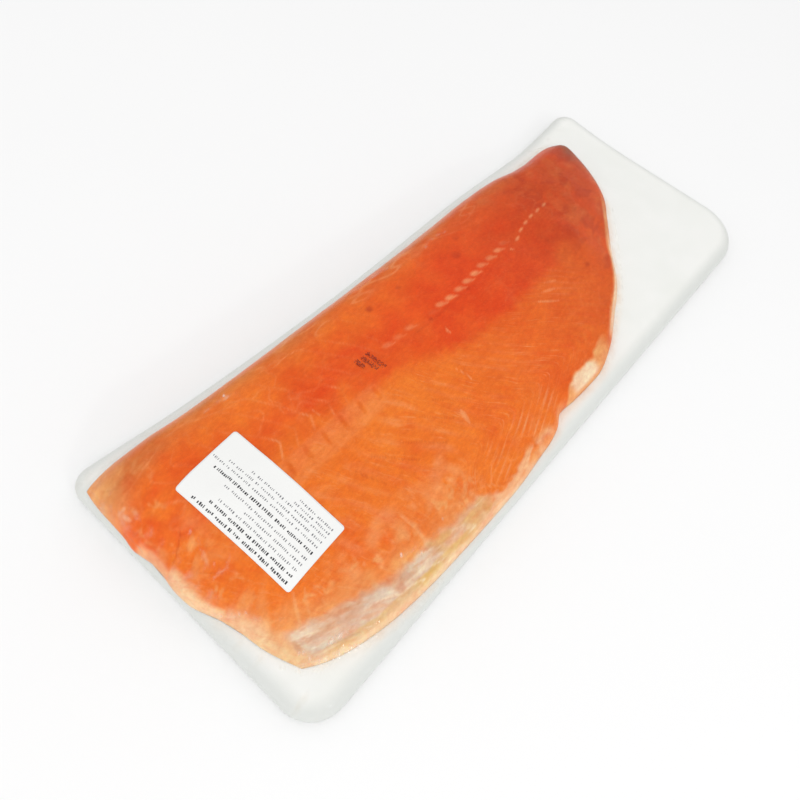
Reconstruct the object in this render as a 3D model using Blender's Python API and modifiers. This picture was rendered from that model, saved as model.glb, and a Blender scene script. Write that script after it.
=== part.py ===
"""Raw salmon fillet, vacuum-wrapped on a white foam board, with a paper label.

Metres, +Z up. The origin is the centre of the pack's footprint, on the surface that the board lies on.
+X runs from the tail to the head end of the fillet, +Y from the back of the fish to its belly.
"""

import bmesh
import bpy
import numpy as np

# Foam board
BOARD_LENGTH = 0.551
BOARD_WIDTH = 0.208
TOP_EDGE_RADIUS = 0.009
BOTTOM_EDGE_RADIUS = 0.003
BOARD_THICKNESS = TOP_EDGE_RADIUS + BOTTOM_EDGE_RADIUS
# Corner radii by the signs of x and y: tail or head end, back or belly side
CORNER_RADIUS = {(-1, -1): 0.012, (-1, 1): 0.042, (1, 1): 0.023, (1, -1): 0.014}
# The tight film draws the back side in: by how much, along the board
BACK_BOW = ((-0.2755, 0.0), (-0.2250, 0.0040), (-0.1850, 0.0062), (-0.1050, 0.0045),
            (0.0550, 0.0084), (0.1950, 0.0050), (0.2555, 0.0008), (0.2755, 0.0))
# It also curls two corners up: corner, height at its tip, reach of the curl along the corner's bisector
TAIL_CURL = ((-BOARD_LENGTH / 2, -BOARD_WIDTH / 2), 0.0060, 0.060)
HEAD_CURL = ((BOARD_LENGTH / 2, -BOARD_WIDTH / 2), 0.0020, 0.070)

# Fillet: outline seen from above, as points that a smooth curve passes through
BACK_EDGE = ((-0.2245, -0.0790), (-0.2005, -0.0820), (-0.1705, -0.0805), (-0.1505, -0.0820), (-0.1255, -0.0860),
             (-0.0905, -0.0875), (-0.0355, -0.0855), (0.0445, -0.0830), (0.1445, -0.0825), (0.1945, -0.0840),
             (0.2295, -0.0870), (0.2565, -0.0890), (0.2755, -0.0865))
BELLY_EDGE = ((-0.2245, -0.0505), (-0.2165, -0.0305), (-0.2015, -0.0090), (-0.1815, 0.0070), (-0.1505, 0.0300),
              (-0.1205, 0.0540), (-0.0905, 0.0695), (-0.0605, 0.0833), (-0.0305, 0.0900), (-0.0005, 0.0890),
              (0.0145, 0.0875), (0.0285, 0.0935), (0.0595, 0.0975), (0.0895, 0.0995), (0.1345, 0.0990),
              (0.1795, 0.0970), (0.2095, 0.0930), (0.2395, 0.0840), (0.2565, 0.0735), (0.2755, 0.0550))
# Where the tail and the head end stop, at shares of the width from back to belly
TAIL_END = ((0.0, -0.2145), (0.2, -0.2235), (0.5, -0.2250), (0.8, -0.2230), (1.0, -0.2170))
HEAD_END = ((0.0, 0.2705), (0.07, 0.2722), (0.26, 0.2732), (0.32, 0.2743), (0.44, 0.2718), (0.57, 0.2738),
            (0.65, 0.2732), (0.72, 0.2685), (0.79, 0.2650), (0.91, 0.2615), (1.0, 0.2550))
# Thickness along the back muscle, and its share at parts of the width from back to belly
THICKNESS_ALONG = ((-0.2245, 0.0095), (-0.1750, 0.0150), (-0.0850, 0.0215), (0.0450, 0.0265),
                   (0.1500, 0.0285), (0.2200, 0.0275), (0.2755, 0.0250))
THICKNESS_ACROSS = ((0.0, 0.88), (0.14, 0.98), (0.28, 1.0), (0.45, 0.93), (0.70, 0.66), (0.90, 0.38), (1.0, 0.27))
# How far from its edges the fillet rounds off, and how it thins towards the head end
BACK_ROUNDING = 0.011
BELLY_ROUNDING = 0.0040
END_ROUNDING = 0.0050
HEAD_TAPER = 0.050
HEAD_EDGE_SHARE = 0.28
# How far the fillet's edge sinks with the board's rounded rim
DRAPE = 0.25

# Film and label
CLEARANCE = 0.0003
FILM_THICKNESS = 0.0005
FILM_OVER_BOARD = 0.0012
FILM_OVER_FILLET = 0.0015
FILM_TENT = 0.0065
FILM_HEM = 0.0018
LABEL_GAP = 0.0005
LABEL_WIDTH = 0.0475
LABEL_LENGTH = 0.0865
LABEL_CENTRE = (0.2130, -0.0010)
LABEL_TURN = np.radians(3.0)
LABEL_THICKNESS = 0.0003
LABEL_CORNER = 0.0030

# Mesh density of the solids
EDGE_STEPS = 3
ARC_STEPS = 3
SMALLEST_RADIUS = 0.0015
BOARD_CELLS = (21, 12)
FILM_CELLS = (42, 18)
FILLET_CELLS = (38, 16)
LABEL_CELLS = (7, 11)


def smooth_curve(points):
    """A function y(x) through the points, with slopes that never overshoot them."""
    xs, ys = np.array(points, float).T
    steps = np.diff(ys) / np.diff(xs)
    slopes = np.concatenate([steps[:1], (steps[:-1] + steps[1:]) / 2, steps[-1:]])
    turning = np.concatenate([[False], steps[:-1] * steps[1:] <= 0, [False]])
    slopes[turning] = 0.0
    limit = 3 * np.minimum(np.abs(np.append(steps, steps[-1])), np.abs(np.insert(steps, 0, steps[0])))
    slopes = np.clip(slopes, -limit, limit)

    def curve(x):
        x = np.clip(x, xs[0], xs[-1])
        k = np.clip(np.searchsorted(xs, x) - 1, 0, len(xs) - 2)
        width = xs[k + 1] - xs[k]
        t = (x - xs[k]) / width
        rise = t * t * (3 - 2 * t)
        return (ys[k] * (1 - rise) + ys[k + 1] * rise
                + slopes[k] * width * t * (1 - t) ** 2 - slopes[k + 1] * width * t * t * (1 - t))

    return curve


back_edge = smooth_curve(BACK_EDGE)
belly_edge = smooth_curve(BELLY_EDGE)
back_bow = smooth_curve(BACK_BOW)
tail_end = smooth_curve(TAIL_END)
head_end = smooth_curve(HEAD_END)
thickness_along = smooth_curve(THICKNESS_ALONG)
thickness_across = smooth_curve(THICKNESS_ACROSS)


def quarter_round(distance, radius):
    """0 at an edge, rising as a quarter circle to 1 at the radius and beyond it."""
    inside = np.clip(distance / radius, 0.0, 1.0)
    return np.sqrt(1.0 - (1.0 - inside) ** 2)


def curl(x, y):
    """How far the board bends up at its two curled corners, as a sheet does: across one line, more and more."""
    height = np.zeros_like(x)
    for (corner_x, corner_y), tip, reach in (TAIL_CURL, HEAD_CURL):
        inward = ((corner_x - x) * np.sign(corner_x) + (corner_y - y) * np.sign(corner_y)) / np.sqrt(2)
        height += tip * np.clip(1.0 - inward / reach, 0.0, None) ** 2
    return height


def rim_drop(x, y):
    """How far the board's top has sunk below its flat part, on its rounded rim."""
    half_x, half_y = BOARD_LENGTH / 2, BOARD_WIDTH / 2
    inset = np.minimum.reduce([half_x - np.abs(x), half_y - y, half_y + y - back_bow(x)])
    return TOP_EDGE_RADIUS * (1.0 - quarter_round(inset, TOP_EDGE_RADIUS))


def fillet_base(x, y):
    """Height of the fillet's underside, which lies on the board and drapes a little over its rim."""
    return BOARD_THICKNESS + CLEARANCE + curl(x, y) - DRAPE * rim_drop(x, y)


def fillet_thickness(x, y):
    """Thickness of the fillet at a point of its plan, and 0 outside its outline."""
    width = belly_edge(x) - back_edge(x)
    across = np.clip((y - back_edge(x)) / width, 0.0, 1.0)
    from_head = head_end(across) - x
    taper = np.sin(np.pi / 2 * np.clip(from_head / HEAD_TAPER, 0.0, 1.0))
    full = thickness_along(x) * thickness_across(across) * (HEAD_EDGE_SHARE + (1 - HEAD_EDGE_SHARE) * taper)
    sides = quarter_round(y - back_edge(x), BACK_ROUNDING) * quarter_round(belly_edge(x) - y, BELLY_ROUNDING)
    ends = quarter_round(x - tail_end(across), END_ROUNDING) * quarter_round(from_head, END_ROUNDING)
    return full * sides * ends


def contents_height(x, y):
    """Top of whatever lies highest under the film at a point: the fillet, or the board's top."""
    thickness = fillet_thickness(x, y)
    board = BOARD_THICKNESS + curl(x, y) - rim_drop(x, y) + FILM_OVER_BOARD
    return np.where(thickness > 0, fillet_base(x, y) + thickness + FILM_OVER_FILLET, board)


def film_height(x, y):
    """The film spans the steps round the fillet, so it lies as high as the highest point near by."""
    shifts = (-FILM_TENT, 0.0, FILM_TENT)
    return np.max([contents_height(x + dx, y + dy) for dx in shifts for dy in shifts], axis=0)


def side_of_outline(length, radius_start, radius_end, cells):
    """Points along one side of a rounded rectangle, from the middle of one corner's arc to the next one's.

    Gives each point's distance along the side and its depth inwards from the side's line.
    """
    angles = np.linspace(np.pi / 4, 0.0, ARC_STEPS + 1)
    start = radius_start * (1 - np.sin(angles))
    end = length - radius_end * (1 - np.sin(angles[::-1]))
    straight = np.linspace(start[-1], end[0], cells - 2 * ARC_STEPS + 1)
    depth_start = radius_start * (1 - np.cos(angles))
    depth_end = radius_end * (1 - np.cos(angles[::-1]))
    along = np.concatenate([start[:-1], straight, end[1:]])
    depth = np.concatenate([depth_start[:-1], np.zeros(len(straight)), depth_end[1:]])
    return along, depth


def board_outline(inset, cells, grow):
    """The four sides of the board's rounded outline, at an inset from its rim: back, belly, tail and head."""
    half_x, half_y = BOARD_LENGTH / 2 + grow - inset, BOARD_WIDTH / 2 + grow - inset
    radius = {corner: max(size + grow - inset, SMALLEST_RADIUS) for corner, size in CORNER_RADIUS.items()}
    along, depth = side_of_outline(2 * half_x, radius[-1, -1], radius[1, -1], cells[0])
    back = np.stack([along - half_x, depth - half_y])
    along, depth = side_of_outline(2 * half_x, radius[-1, 1], radius[1, 1], cells[0])
    belly = np.stack([along - half_x, half_y - depth])
    along, depth = side_of_outline(2 * half_y, radius[-1, -1], radius[-1, 1], cells[1])
    tail = np.stack([depth - half_x, along - half_y])
    along, depth = side_of_outline(2 * half_y, radius[1, -1], radius[1, 1], cells[1])
    head = np.stack([half_x - depth, along - half_y])
    return back, belly, tail, head


def board_plan(insets, cells, grow=0.0):
    """Plan of a grid over the board's rounded outline, and how many rings each point lies inside the rim.

    The outer rings follow the outline at the given insets. Inside the last one the grid blends its four sides.
    """
    rings = len(insets) - 1
    x = np.zeros((cells[0] + 2 * rings + 1, cells[1] + 2 * rings + 1))
    y = np.zeros_like(x)
    i, j = np.indices(x.shape)
    ring = np.minimum.reduce([i, j, x.shape[0] - 1 - i, x.shape[1] - 1 - j])
    for k, inset in enumerate(insets):
        extra = 2 * (rings - k)
        back, belly, tail, head = board_outline(inset, (cells[0] + extra, cells[1] + extra), grow)
        first, last_i, last_j = k, x.shape[0] - 1 - k, x.shape[1] - 1 - k
        for plan, axis in ((x, 0), (y, 1)):
            plan[first:last_i + 1, first] = back[axis]
            plan[first:last_i + 1, last_j] = belly[axis]
            plan[first, first:last_j + 1] = tail[axis]
            plan[last_i, first:last_j + 1] = head[axis]
    u = np.linspace(0, 1, cells[0] + 1)[:, None]
    v = np.linspace(0, 1, cells[1] + 1)[None, :]
    inner = slice(rings, -rings)
    for plan, axis in ((x, 0), (y, 1)):
        sides = ((1 - v) * back[axis][:, None] + v * belly[axis][:, None]
                 + (1 - u) * tail[axis][None, :] + u * head[axis][None, :])
        corners = ((1 - u) * (1 - v) * back[axis][0] + u * (1 - v) * back[axis][-1]
                   + (1 - u) * v * belly[axis][0] + u * v * belly[axis][-1])
        plan[inner, inner] = sides - corners
    return *pull_side(x, y), ring


def pull_side(x, y):
    """The plan after the film has drawn the back side in."""
    half_y = BOARD_WIDTH / 2
    return x, y + back_bow(x) * np.clip(-y / half_y, 0.0, None)


def edge_profile(radius, steps):
    """Insets and rises of a rounded edge, from its widest line inwards, as a quarter circle in equal angles."""
    angles = np.linspace(0.0, np.pi / 2, steps + 1)
    return radius * (1 - np.cos(angles)), radius * np.sin(angles)


def by_ring(values, ring):
    """The rim's value for each point, and the innermost one past the rim."""
    return np.array(values)[np.minimum(ring, len(values) - 1)]


def board_sheet(is_top):
    """Upper or lower face of the board: flat, with its rounded edge, and bent up at the curled corners."""
    insets, rises = edge_profile(TOP_EDGE_RADIUS, EDGE_STEPS)
    x, y, ring = board_plan(insets, BOARD_CELLS)
    falls = BOTTOM_EDGE_RADIUS * quarter_round(insets, BOTTOM_EDGE_RADIUS)
    z = BOTTOM_EDGE_RADIUS + curl(x, y) + (by_ring(rises, ring) if is_top else -by_ring(falls, ring))
    return np.stack([x, y, z], axis=-1)


def fillet_sheet(is_top):
    """Upper or lower face of the fillet, on a grid that runs from tail to head end and from back to belly."""
    along = (1 - np.cos(np.linspace(0, np.pi, FILLET_CELLS[0] + 1))) / 2
    along = 0.45 * along + 0.55 * np.linspace(0, 1, FILLET_CELLS[0] + 1)
    across = (1 - np.cos(np.linspace(0, np.pi, FILLET_CELLS[1] + 1))) / 2
    u, v = np.meshgrid(along, across, indexing="ij")
    x = tail_end(v) + u * (head_end(v) - tail_end(v))
    y = back_edge(x) + v * (belly_edge(x) - back_edge(x))
    z = fillet_base(x, y)
    if is_top:
        z = z + fillet_thickness(x, y)
    return np.stack([x, y, z], axis=-1)


def film_sheet():
    """Outer face of the film, from the board's widest line up and over everything."""
    insets, rises = edge_profile(TOP_EDGE_RADIUS + FILM_OVER_BOARD, EDGE_STEPS)
    x, y, ring = board_plan(insets, FILM_CELLS, grow=FILM_OVER_BOARD)
    z = BOTTOM_EDGE_RADIUS + by_ring(rises, ring) + curl(x, y)
    z = np.where(ring > 0, np.maximum(z, film_height(x, y)), z)
    return np.stack([x, y, z], axis=-1)


def label_sheet():
    """Lower face of the label, a rounded rectangle that follows the film."""
    a, b = np.meshgrid(*(np.linspace(-0.5, 0.5, cells + 1) for cells in LABEL_CELLS), indexing="ij")
    a, b = a * LABEL_WIDTH, b * LABEL_LENGTH
    past_a = np.clip(np.abs(a) - LABEL_WIDTH / 2 + LABEL_CORNER, 0.0, None)
    past_b = np.clip(np.abs(b) - LABEL_LENGTH / 2 + LABEL_CORNER, 0.0, None)
    at_corner = (past_a > 0) & (past_b > 0)
    pull = np.where(at_corner, LABEL_CORNER * (1 - np.sqrt(0.5)), 0.0)
    a, b = a - np.sign(a) * pull, b - np.sign(b) * pull
    x = LABEL_CENTRE[0] + a * np.cos(LABEL_TURN) - b * np.sin(LABEL_TURN)
    y = LABEL_CENTRE[1] + a * np.sin(LABEL_TURN) + b * np.cos(LABEL_TURN)
    return np.stack([x, y, film_height(x, y) + LABEL_GAP], axis=-1)


def add_sheet(mesh, points, facing_up):
    """Adds a grid of faces to a bmesh, with its points where the array says."""
    rows, columns = points.shape[:2]
    made = bmesh.ops.create_grid(mesh, x_segments=rows - 1, y_segments=columns - 1, size=1.0)
    for vert in made["verts"]:
        i = round((vert.co.x + 1) / 2 * (rows - 1))
        j = round((vert.co.y + 1) / 2 * (columns - 1))
        vert.co = points[i, j]
    if not facing_up:
        faces = {face for vert in made["verts"] for face in vert.link_faces}
        bmesh.ops.reverse_faces(mesh, faces=list(faces))


def new_part(name, mesh, material, collection):
    """One named object from a bmesh, shaded smooth, with its material."""
    data = bpy.data.meshes.new(name)
    mesh.to_mesh(data)
    mesh.free()
    data.shade_smooth()
    data.set_sharp_from_angle(angle=np.radians(50))
    data.materials.append(material)
    part = bpy.data.objects.new(name, data)
    collection.objects.link(part)
    return part


def closed_part(name, top, bottom, material, collection):
    """A solid between two sheets that share their outline."""
    mesh = bmesh.new()
    add_sheet(mesh, top, facing_up=True)
    add_sheet(mesh, bottom, facing_up=False)
    bmesh.ops.remove_doubles(mesh, verts=mesh.verts, dist=1e-6)
    return new_part(name, mesh, material, collection)


def shell_part(name, sheet, thickness, side, material, collection, hem=0.0):
    """A skin of even thickness, laid on the inner side (-1) or the outer side (1) of a sheet.

    A hem continues the sheet straight down from its outline.
    """
    mesh = bmesh.new()
    add_sheet(mesh, sheet, facing_up=True)
    if hem:
        rim = [edge for edge in mesh.edges if edge.is_boundary]
        made = bmesh.ops.extrude_edge_only(mesh, edges=rim)
        lower = [item for item in made["geom"] if isinstance(item, bmesh.types.BMVert)]
        bmesh.ops.translate(mesh, verts=lower, vec=(0.0, 0.0, -hem))
    part = new_part(name, mesh, material, collection)
    solidify = part.modifiers.new("Thickness", "SOLIDIFY")
    solidify.thickness = thickness
    solidify.offset = side
    return part


def plain_material(name, colour, roughness, alpha=1.0):
    """A Principled material of one colour."""
    material = bpy.data.materials.new(name)
    material.use_nodes = True
    shader = material.node_tree.nodes["Principled BSDF"]
    shader.inputs["Base Color"].default_value = (*colour, 1.0)
    shader.inputs["Roughness"].default_value = roughness
    shader.inputs["Metallic"].default_value = 0.0
    shader.inputs["Alpha"].default_value = alpha
    return material


def build():
    """Clears the scene and makes the four parts of the pack."""
    for old in list(bpy.data.objects):
        bpy.data.objects.remove(old, do_unlink=True)
    pack = bpy.data.collections.new("salmon_fillet_pack")
    bpy.context.scene.collection.children.link(pack)

    foam = plain_material("foam", (0.89, 0.90, 0.87), 0.75)
    flesh = plain_material("flesh", (0.80, 0.16, 0.035), 0.35)
    clear = plain_material("clear_film", (0.93, 0.95, 0.96), 0.10, alpha=0.15)
    paper = plain_material("label_paper", (0.86, 0.86, 0.85), 0.60)

    closed_part("foam_board", board_sheet(True), board_sheet(False), foam, pack)
    closed_part("fillet", fillet_sheet(True), fillet_sheet(False), flesh, pack)
    shell_part("film", film_sheet(), FILM_THICKNESS, -1, clear, pack, hem=FILM_HEM)
    shell_part("label", label_sheet(), LABEL_THICKNESS, 1, paper, pack)


build()
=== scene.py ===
"""A raw salmon fillet on a white foam board, sealed under clear film, with a paper label.

Metres, +Z up. +X runs from the tail to the head end of the fillet, +Y from the back of the fish to its belly.
The pattern functions take millimetres, and say so.
"""

import bpy
import numpy as np
from bpy.props import FloatProperty, FloatVectorProperty, IntProperty, PointerProperty
from bpy.types import Operator, Panel, PropertyGroup
from mathutils import Matrix, Vector


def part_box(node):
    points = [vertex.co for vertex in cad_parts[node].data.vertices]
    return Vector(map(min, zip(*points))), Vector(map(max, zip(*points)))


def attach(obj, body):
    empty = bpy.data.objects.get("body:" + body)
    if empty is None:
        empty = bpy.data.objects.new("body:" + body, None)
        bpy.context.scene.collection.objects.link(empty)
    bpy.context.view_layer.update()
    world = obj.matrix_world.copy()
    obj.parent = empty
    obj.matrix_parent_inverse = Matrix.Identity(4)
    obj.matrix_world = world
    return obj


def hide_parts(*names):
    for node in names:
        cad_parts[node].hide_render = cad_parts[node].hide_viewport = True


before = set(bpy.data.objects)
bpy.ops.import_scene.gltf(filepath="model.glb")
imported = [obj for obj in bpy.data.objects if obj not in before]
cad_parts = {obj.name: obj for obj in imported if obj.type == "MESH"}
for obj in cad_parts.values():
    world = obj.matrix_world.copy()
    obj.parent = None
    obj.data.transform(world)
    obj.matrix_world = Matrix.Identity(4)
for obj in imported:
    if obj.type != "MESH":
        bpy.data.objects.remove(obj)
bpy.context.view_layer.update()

bl_info = {
    "name": "Wrapped salmon fillet",
    "version": (1, 0, 0),
    "blender": (4, 5, 0),
    "location": "View3D > Sidebar > Salmon",
    "description": "Builds a salmon fillet on a foam board, sealed under clear film",
    "category": "Add Mesh",
}

MM = 0.001

# Foam board
CORNER_RADIUS = {(-1, -1): 0.018, (-1, 1): 0.042, (1, 1): 0.023, (1, -1): 0.014}
BACK_BOW = ((-0.2755, 0.0), (-0.2250, 0.0040), (-0.1850, 0.0062), (-0.1050, 0.0045),
            (0.0550, 0.0084), (0.1950, 0.0050), (0.2555, 0.0008), (0.2755, 0.0))
# Signs of the two curled corners, height at the tip, and reach of the curl along the corner's bisector
CURLS = ((-1, -1, 0.0060, 0.060), (1, -1, 0.0020, 0.070))
SMALLEST_RADIUS = 0.0015
DENT_DEPTH = 0.00022
# Warm tint of the board beside the fish: the heights between which it sets in, the distances outside the fish
# and the places along the board between which it fades. Then the strip inside the rim that is greyed as
# painted shade
WARM_TINT_HEIGHT, WARM_TINT_REACH, WARM_TINT_END = (0.006, 0.010), (-0.0075, -0.0005), (0.235, 0.205)
RIM_SHADE_STRIP = (0.013, 0.001)

# Fillet: outline seen from above, then thickness along it and across it, as points of smooth curves
BACK_EDGE = ((-0.2245, -0.0790), (-0.2005, -0.0820), (-0.1705, -0.0805), (-0.1505, -0.0820),
             (-0.1255, -0.0860), (-0.0905, -0.0870), (-0.0355, -0.0850), (0.0445, -0.0836),
             (0.1445, -0.0834), (0.1945, -0.0840), (0.2295, -0.0870), (0.2565, -0.0890), (0.2755, -0.0865))
BELLY_EDGE = ((-0.2245, -0.0505), (-0.2165, -0.0305), (-0.2015, -0.0090), (-0.1815, 0.0070),
              (-0.1505, 0.0300), (-0.1205, 0.0540), (-0.0905, 0.0695), (-0.0605, 0.0833),
              (-0.0305, 0.0900), (-0.0005, 0.0890), (0.0145, 0.0875), (0.0285, 0.0935),
              (0.0595, 0.0975), (0.0895, 0.0995), (0.1345, 0.0990), (0.1795, 0.0970),
              (0.2095, 0.0930), (0.2395, 0.0840), (0.2565, 0.0735), (0.2755, 0.0550))
TAIL_END = ((0.0, -0.2145), (0.2, -0.2235), (0.5, -0.2250), (0.8, -0.2230), (1.0, -0.2170))
HEAD_END = ((0.0, 0.2705), (0.07, 0.2722), (0.26, 0.2732), (0.32, 0.2743), (0.44, 0.2718), (0.57, 0.2738),
            (0.65, 0.2732), (0.72, 0.2685), (0.79, 0.2650), (0.91, 0.2615), (1.0, 0.2550))
THICKNESS_ALONG = ((-0.2245, 0.0095), (-0.1750, 0.0150), (-0.0850, 0.0215), (0.0450, 0.0265),
                   (0.1500, 0.0285), (0.2200, 0.0275), (0.2755, 0.0250))
THICKNESS_ACROSS = ((0.0, 0.88), (0.14, 0.98), (0.28, 1.0), (0.45, 0.93), (0.70, 0.66), (0.90, 0.38),
                    (1.0, 0.27))
BACK_ROUNDING = 0.014
BELLY_ROUNDING = 0.0085
END_ROUNDING = 0.0050
HEAD_TAPER = 0.050
HEAD_EDGE_SHARE = 0.28
DRAPE = 0.25
CLEARANCE = 0.0003

# The fillet's mesh: cells along and across, how many cells of the upper side one of the underside spans, how
# much closer the cells are at their ends, and how far the rounding of the two ends starts outside them
FLESH_CELLS = (430, 196)
UNDER_STEP = 14
CROWDING = 0.35
END_FLOOR = 0.00012

# The film's grid of heights, the strip inside the board's rim where it turns tight, and its seam underneath
FILM_GRID_START = (-0.2900, -0.1200)
FILM_GRID_CELL = 0.001
TIGHT_STRIP = (0.001, 0.006)
SEAM_HEIGHT = 0.00012

# Marks on the flesh, in millimetres. Pin bones: x, y, strength
PIN_BONES = ((-64, -29.5, 0.35), (-54, -27.5, 0.75), (-42.5, -26.8, 0.8), (-31, -26.5, 0.7),
             (-20.5, -24.7, 0.95), (-10, -24.0, 0.95), (0.5, -23.2, 0.8), (12, -22.8, 0.9),
             (22.5, -23.4, 0.8), (32, -22.5, 0.2), (55, -24.6, 0.55), (67, -24.6, 0.35), (77.5, -25.2, 0.5))
# Thin dashes beyond the pin bones: x, y
BONE_DASHES = ((-130, -33.5), (-119, -33.0), (-108, -32.5), (-98, -31.0), (-88, -28.5), (-78, -25.0))
# Radii and turn of a pin bone's mark, of the tip beside it and of a dash, and how far off the tip lies
BONE_SHAPE, TIP_SHAPE, DASH_SHAPE = (6.0, 2.9, -14.0), (4.6, 1.2, -12.0), (5.0, 1.6, 9.0)
TIP_PLACE = (-4.0, 1.9)
# Dark spots: x, y, radius along, strength
BLOOD_SPOTS = ((64, -54, 4.5, 0.55), (34, -53, 3.5, 0.4), (-24, -45, 6.0, 0.4), (-38, -57, 4.5, 0.3),
               (-109, 27, 4.0, 0.5), (38, -19, 3.0, 0.4), (-5, -19, 2.5, 0.35))
# Drops between the arcs of the middle: places along the fillet, place across it, radii, lean
TEARDROPS = (110, 125, 141, 156, 171, 185)
DROP_Y = -5.0
DROP_RADII = (2.6, 8.0)
DROP_LEAN = 0.18
# Pale streaks: points, width, strength
PALE_STREAKS = (
    ((52, 30), (53, 24), (55, 18), 0.8, 0.45), ((-57, 33), (-48, 28), (-39, 22.5), 1.0, 0.5),
    ((-62, 24), (-57, 22), (-50, 19.5), 1.2, 0.35), ((-70, 20), (-64, 17.5), (-58, 15), 1.2, 0.25),
    ((78, 49), (77, 44), (75.5, 39), 2.6, 0.5), ((36, -3), (36.5, -5), (36, -7), 1.6, 0.4),
    ((148, -18), (149, -22), (148, -26), 0.7, 0.3), ((232, 44), (237, 52), (241, 60), 1.6, 0.45),
    ((226, 47), (231, 54), (235, 61), 1.3, 0.3), ((-66, -20), (-65, -21), (-63, -22), 1.0, 0.5))
# Thin veins and one long one: points
DARK_VEINS = (((98, 50), (108, 42), (114, 35)), ((112, 38), (120, 31), (127, 26)),
              ((122, 44), (131, 36), (136, 30)), ((134, 32), (141, 25), (146, 21)),
              ((150, 40), (155, 30), (158, 22)), ((84, 40), (94, 31), (102, 24)),
              ((64, 38), (76, 29), (86, 22)))
LONG_VEIN = ((-12, -18.5), (20, -18.0), (45, -18.0), (90, -20.5))
# Cuts at the head end: points, width
SLITS = (((251, -24), (256, -20.5), (263, -16), 1.6), ((249, 12), (256, 4), (262, -4), 1.4))
# Torn pale spots: x, y, radius along, radius across, turn, strength
RAGGED_SPOTS = ((266.0, -53.0, 1.6, 4.2, 12.0, 1.0), (264.0, -58.5, 2.2, 1.4, 0.0, 1.0),
                (265.5, 2.0, 1.6, 7.0, 8.0, 0.6), (252.0, -3.0, 1.4, 6.0, -24.0, 0.6),
                (251.5, 8.5, 6.0, 0.9, -12.0, 0.5), (180.0, -67.0, 3.0, 1.6, 20.0, 0.6))

# Print on the label, in millimetres on the paper: place across it, where the line ends, letter height, bold
PRINT_LINES = ((20.6, -33, 1.9, True), (16.6, -24, 1.9, True), (12.6, -20, 1.5, False),
               (8.6, -4, 1.5, False), (4.6, -24, 1.5, False), (0.1, -36, 1.9, True),
               (-4.4, -41, 1.4, False), (-7.9, -33, 1.4, False), (-11.4, -18, 1.4, False),
               (-14.4, 12, 1.4, False), (-17.4, 12, 1.4, False))
PRINT_START = 38.5
# Ranges of a stroke's width, of the gap to the next one, and of the wider gap after a group
STROKE_WIDTH, STROKE_GAP, GROUP_GAP = (0.40, 0.95), (0.50, 0.85), (0.9, 1.6)
# How many strokes the first group and the next ones may have, and shares by which a stroke's end may be cut
FIRST_GROUP, NEXT_GROUP = (3, 10), (2, 11)
STROKE_CUTS = (0.0, 0.0, 0.225)
# How much wider than drawn the strokes of bold and of light print are
BOLD_WIDTH, LIGHT_WIDTH = 1.1, 0.75
# Height of the paper over the film, and thickness of paper and ink
PAPER_LIFT = 0.00012
PAPER_THICKNESS = 0.0001
INK_THICKNESS = 0.00003
# Rows of the printed date, in millimetres: x, first y, last y
STAMP_ROWS = ((92.0, -14.5, -30.5), (97.0, -17.0, -30.5), (102.5, -23.5, -31.0))
# Its dots, in millimetres: how many across a row, distances along and across, half sizes, how far a row sinks
# for each mm, random shift, how likely a dot is, and height over the film in metres
DOTS_ACROSS = 5
DOT_PITCH, DOT_STEP = 0.85, 0.72
DOT_HALF_SIZE = (0.24, 0.27)
DOT_SLOPE = 0.06
DOT_SHIFT = 0.08
DOT_CHANCE = 0.58
DOT_LIFT = 0.00005

# View of the camera, as the columns right, up, back and place
CAMERA_MATRIX = ((-0.649156, -0.597823, 0.470324, 0.303451), (0.747484, -0.615925, 0.248806, 0.114559),
                 (0.140942, 0.513074, 0.846694, 0.398649), (0.0, 0.0, 0.0, 1.0))
CAMERA_LENS = 30.099
SENSOR_WIDTH = 36.0
NEAR_CLIP = 0.01

# Height of the floor, and the lights: side, place and target
FLOOR_HEIGHT = -0.0012
SOFT_LIGHT = (1.6, (2.0, 1.2, 2.2), (0.0, 0.0, 0.0))
SMALL_LIGHT = (0.10, (0.45, 1.30, 0.80), (0.15, 0.03, 0.02))


def srgb(*levels):
    """Linear colour from screen levels of 0 to 255."""
    level = np.array(levels) / 255
    linear = np.where(level <= 0.04045, level / 12.92, ((level + 0.055) / 1.055) ** 2.4)
    return tuple(float(v) for v in linear)


def size_of(node, axis):
    """Length of a frame node along one axis."""
    low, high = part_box(node)
    return round(high[axis] - low[axis], 4)


# Settings


def length(name, text, default):
    """A setting that is a length in metres."""
    return FloatProperty(name=name, description=text, default=default, unit="LENGTH", precision=5)


def share(name, text, default):
    """A setting from 0 to 1."""
    return FloatProperty(name=name, description=text, default=default, min=0.0, max=1.0, subtype="FACTOR")


def power(name, text, default):
    """A setting that is the power of a light."""
    return FloatProperty(name=name, description=text, default=default, unit="POWER")


def colour(name, text, *levels):
    """A setting that is a colour, given as screen levels."""
    return FloatVectorProperty(name=name, description=text, default=srgb(*levels), min=0.0, max=1.0,
                               size=3, subtype="COLOR")


class BoardSettings(PropertyGroup):
    """Sizes and colours of the foam board."""

    length: length("Length", "Length of the board", size_of("foam_board", 0))
    width: length("Width", "Width of the board", size_of("foam_board", 1))
    top_edge: length("Upper edge radius", "Radius of the rounded upper edge", 0.009)
    bottom_edge: length("Lower edge radius", "Radius of the lower edge", 0.003)
    foam: colour("Foam", "Colour of the foam", 252, 252, 248)
    shade: colour("Shaded foam", "Colour of the foam's faint mottling", 246, 247, 242)
    juice: colour("Juice", "Tint of the foam beside the fish", 247, 233, 218)
    # Painted shade: a grey strip inside the rim, in place of the shading of the board's rounded edge
    rim_shade: colour("Pressed edge", "Colour of the denser foam round the rim", 221, 223, 219)


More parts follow.
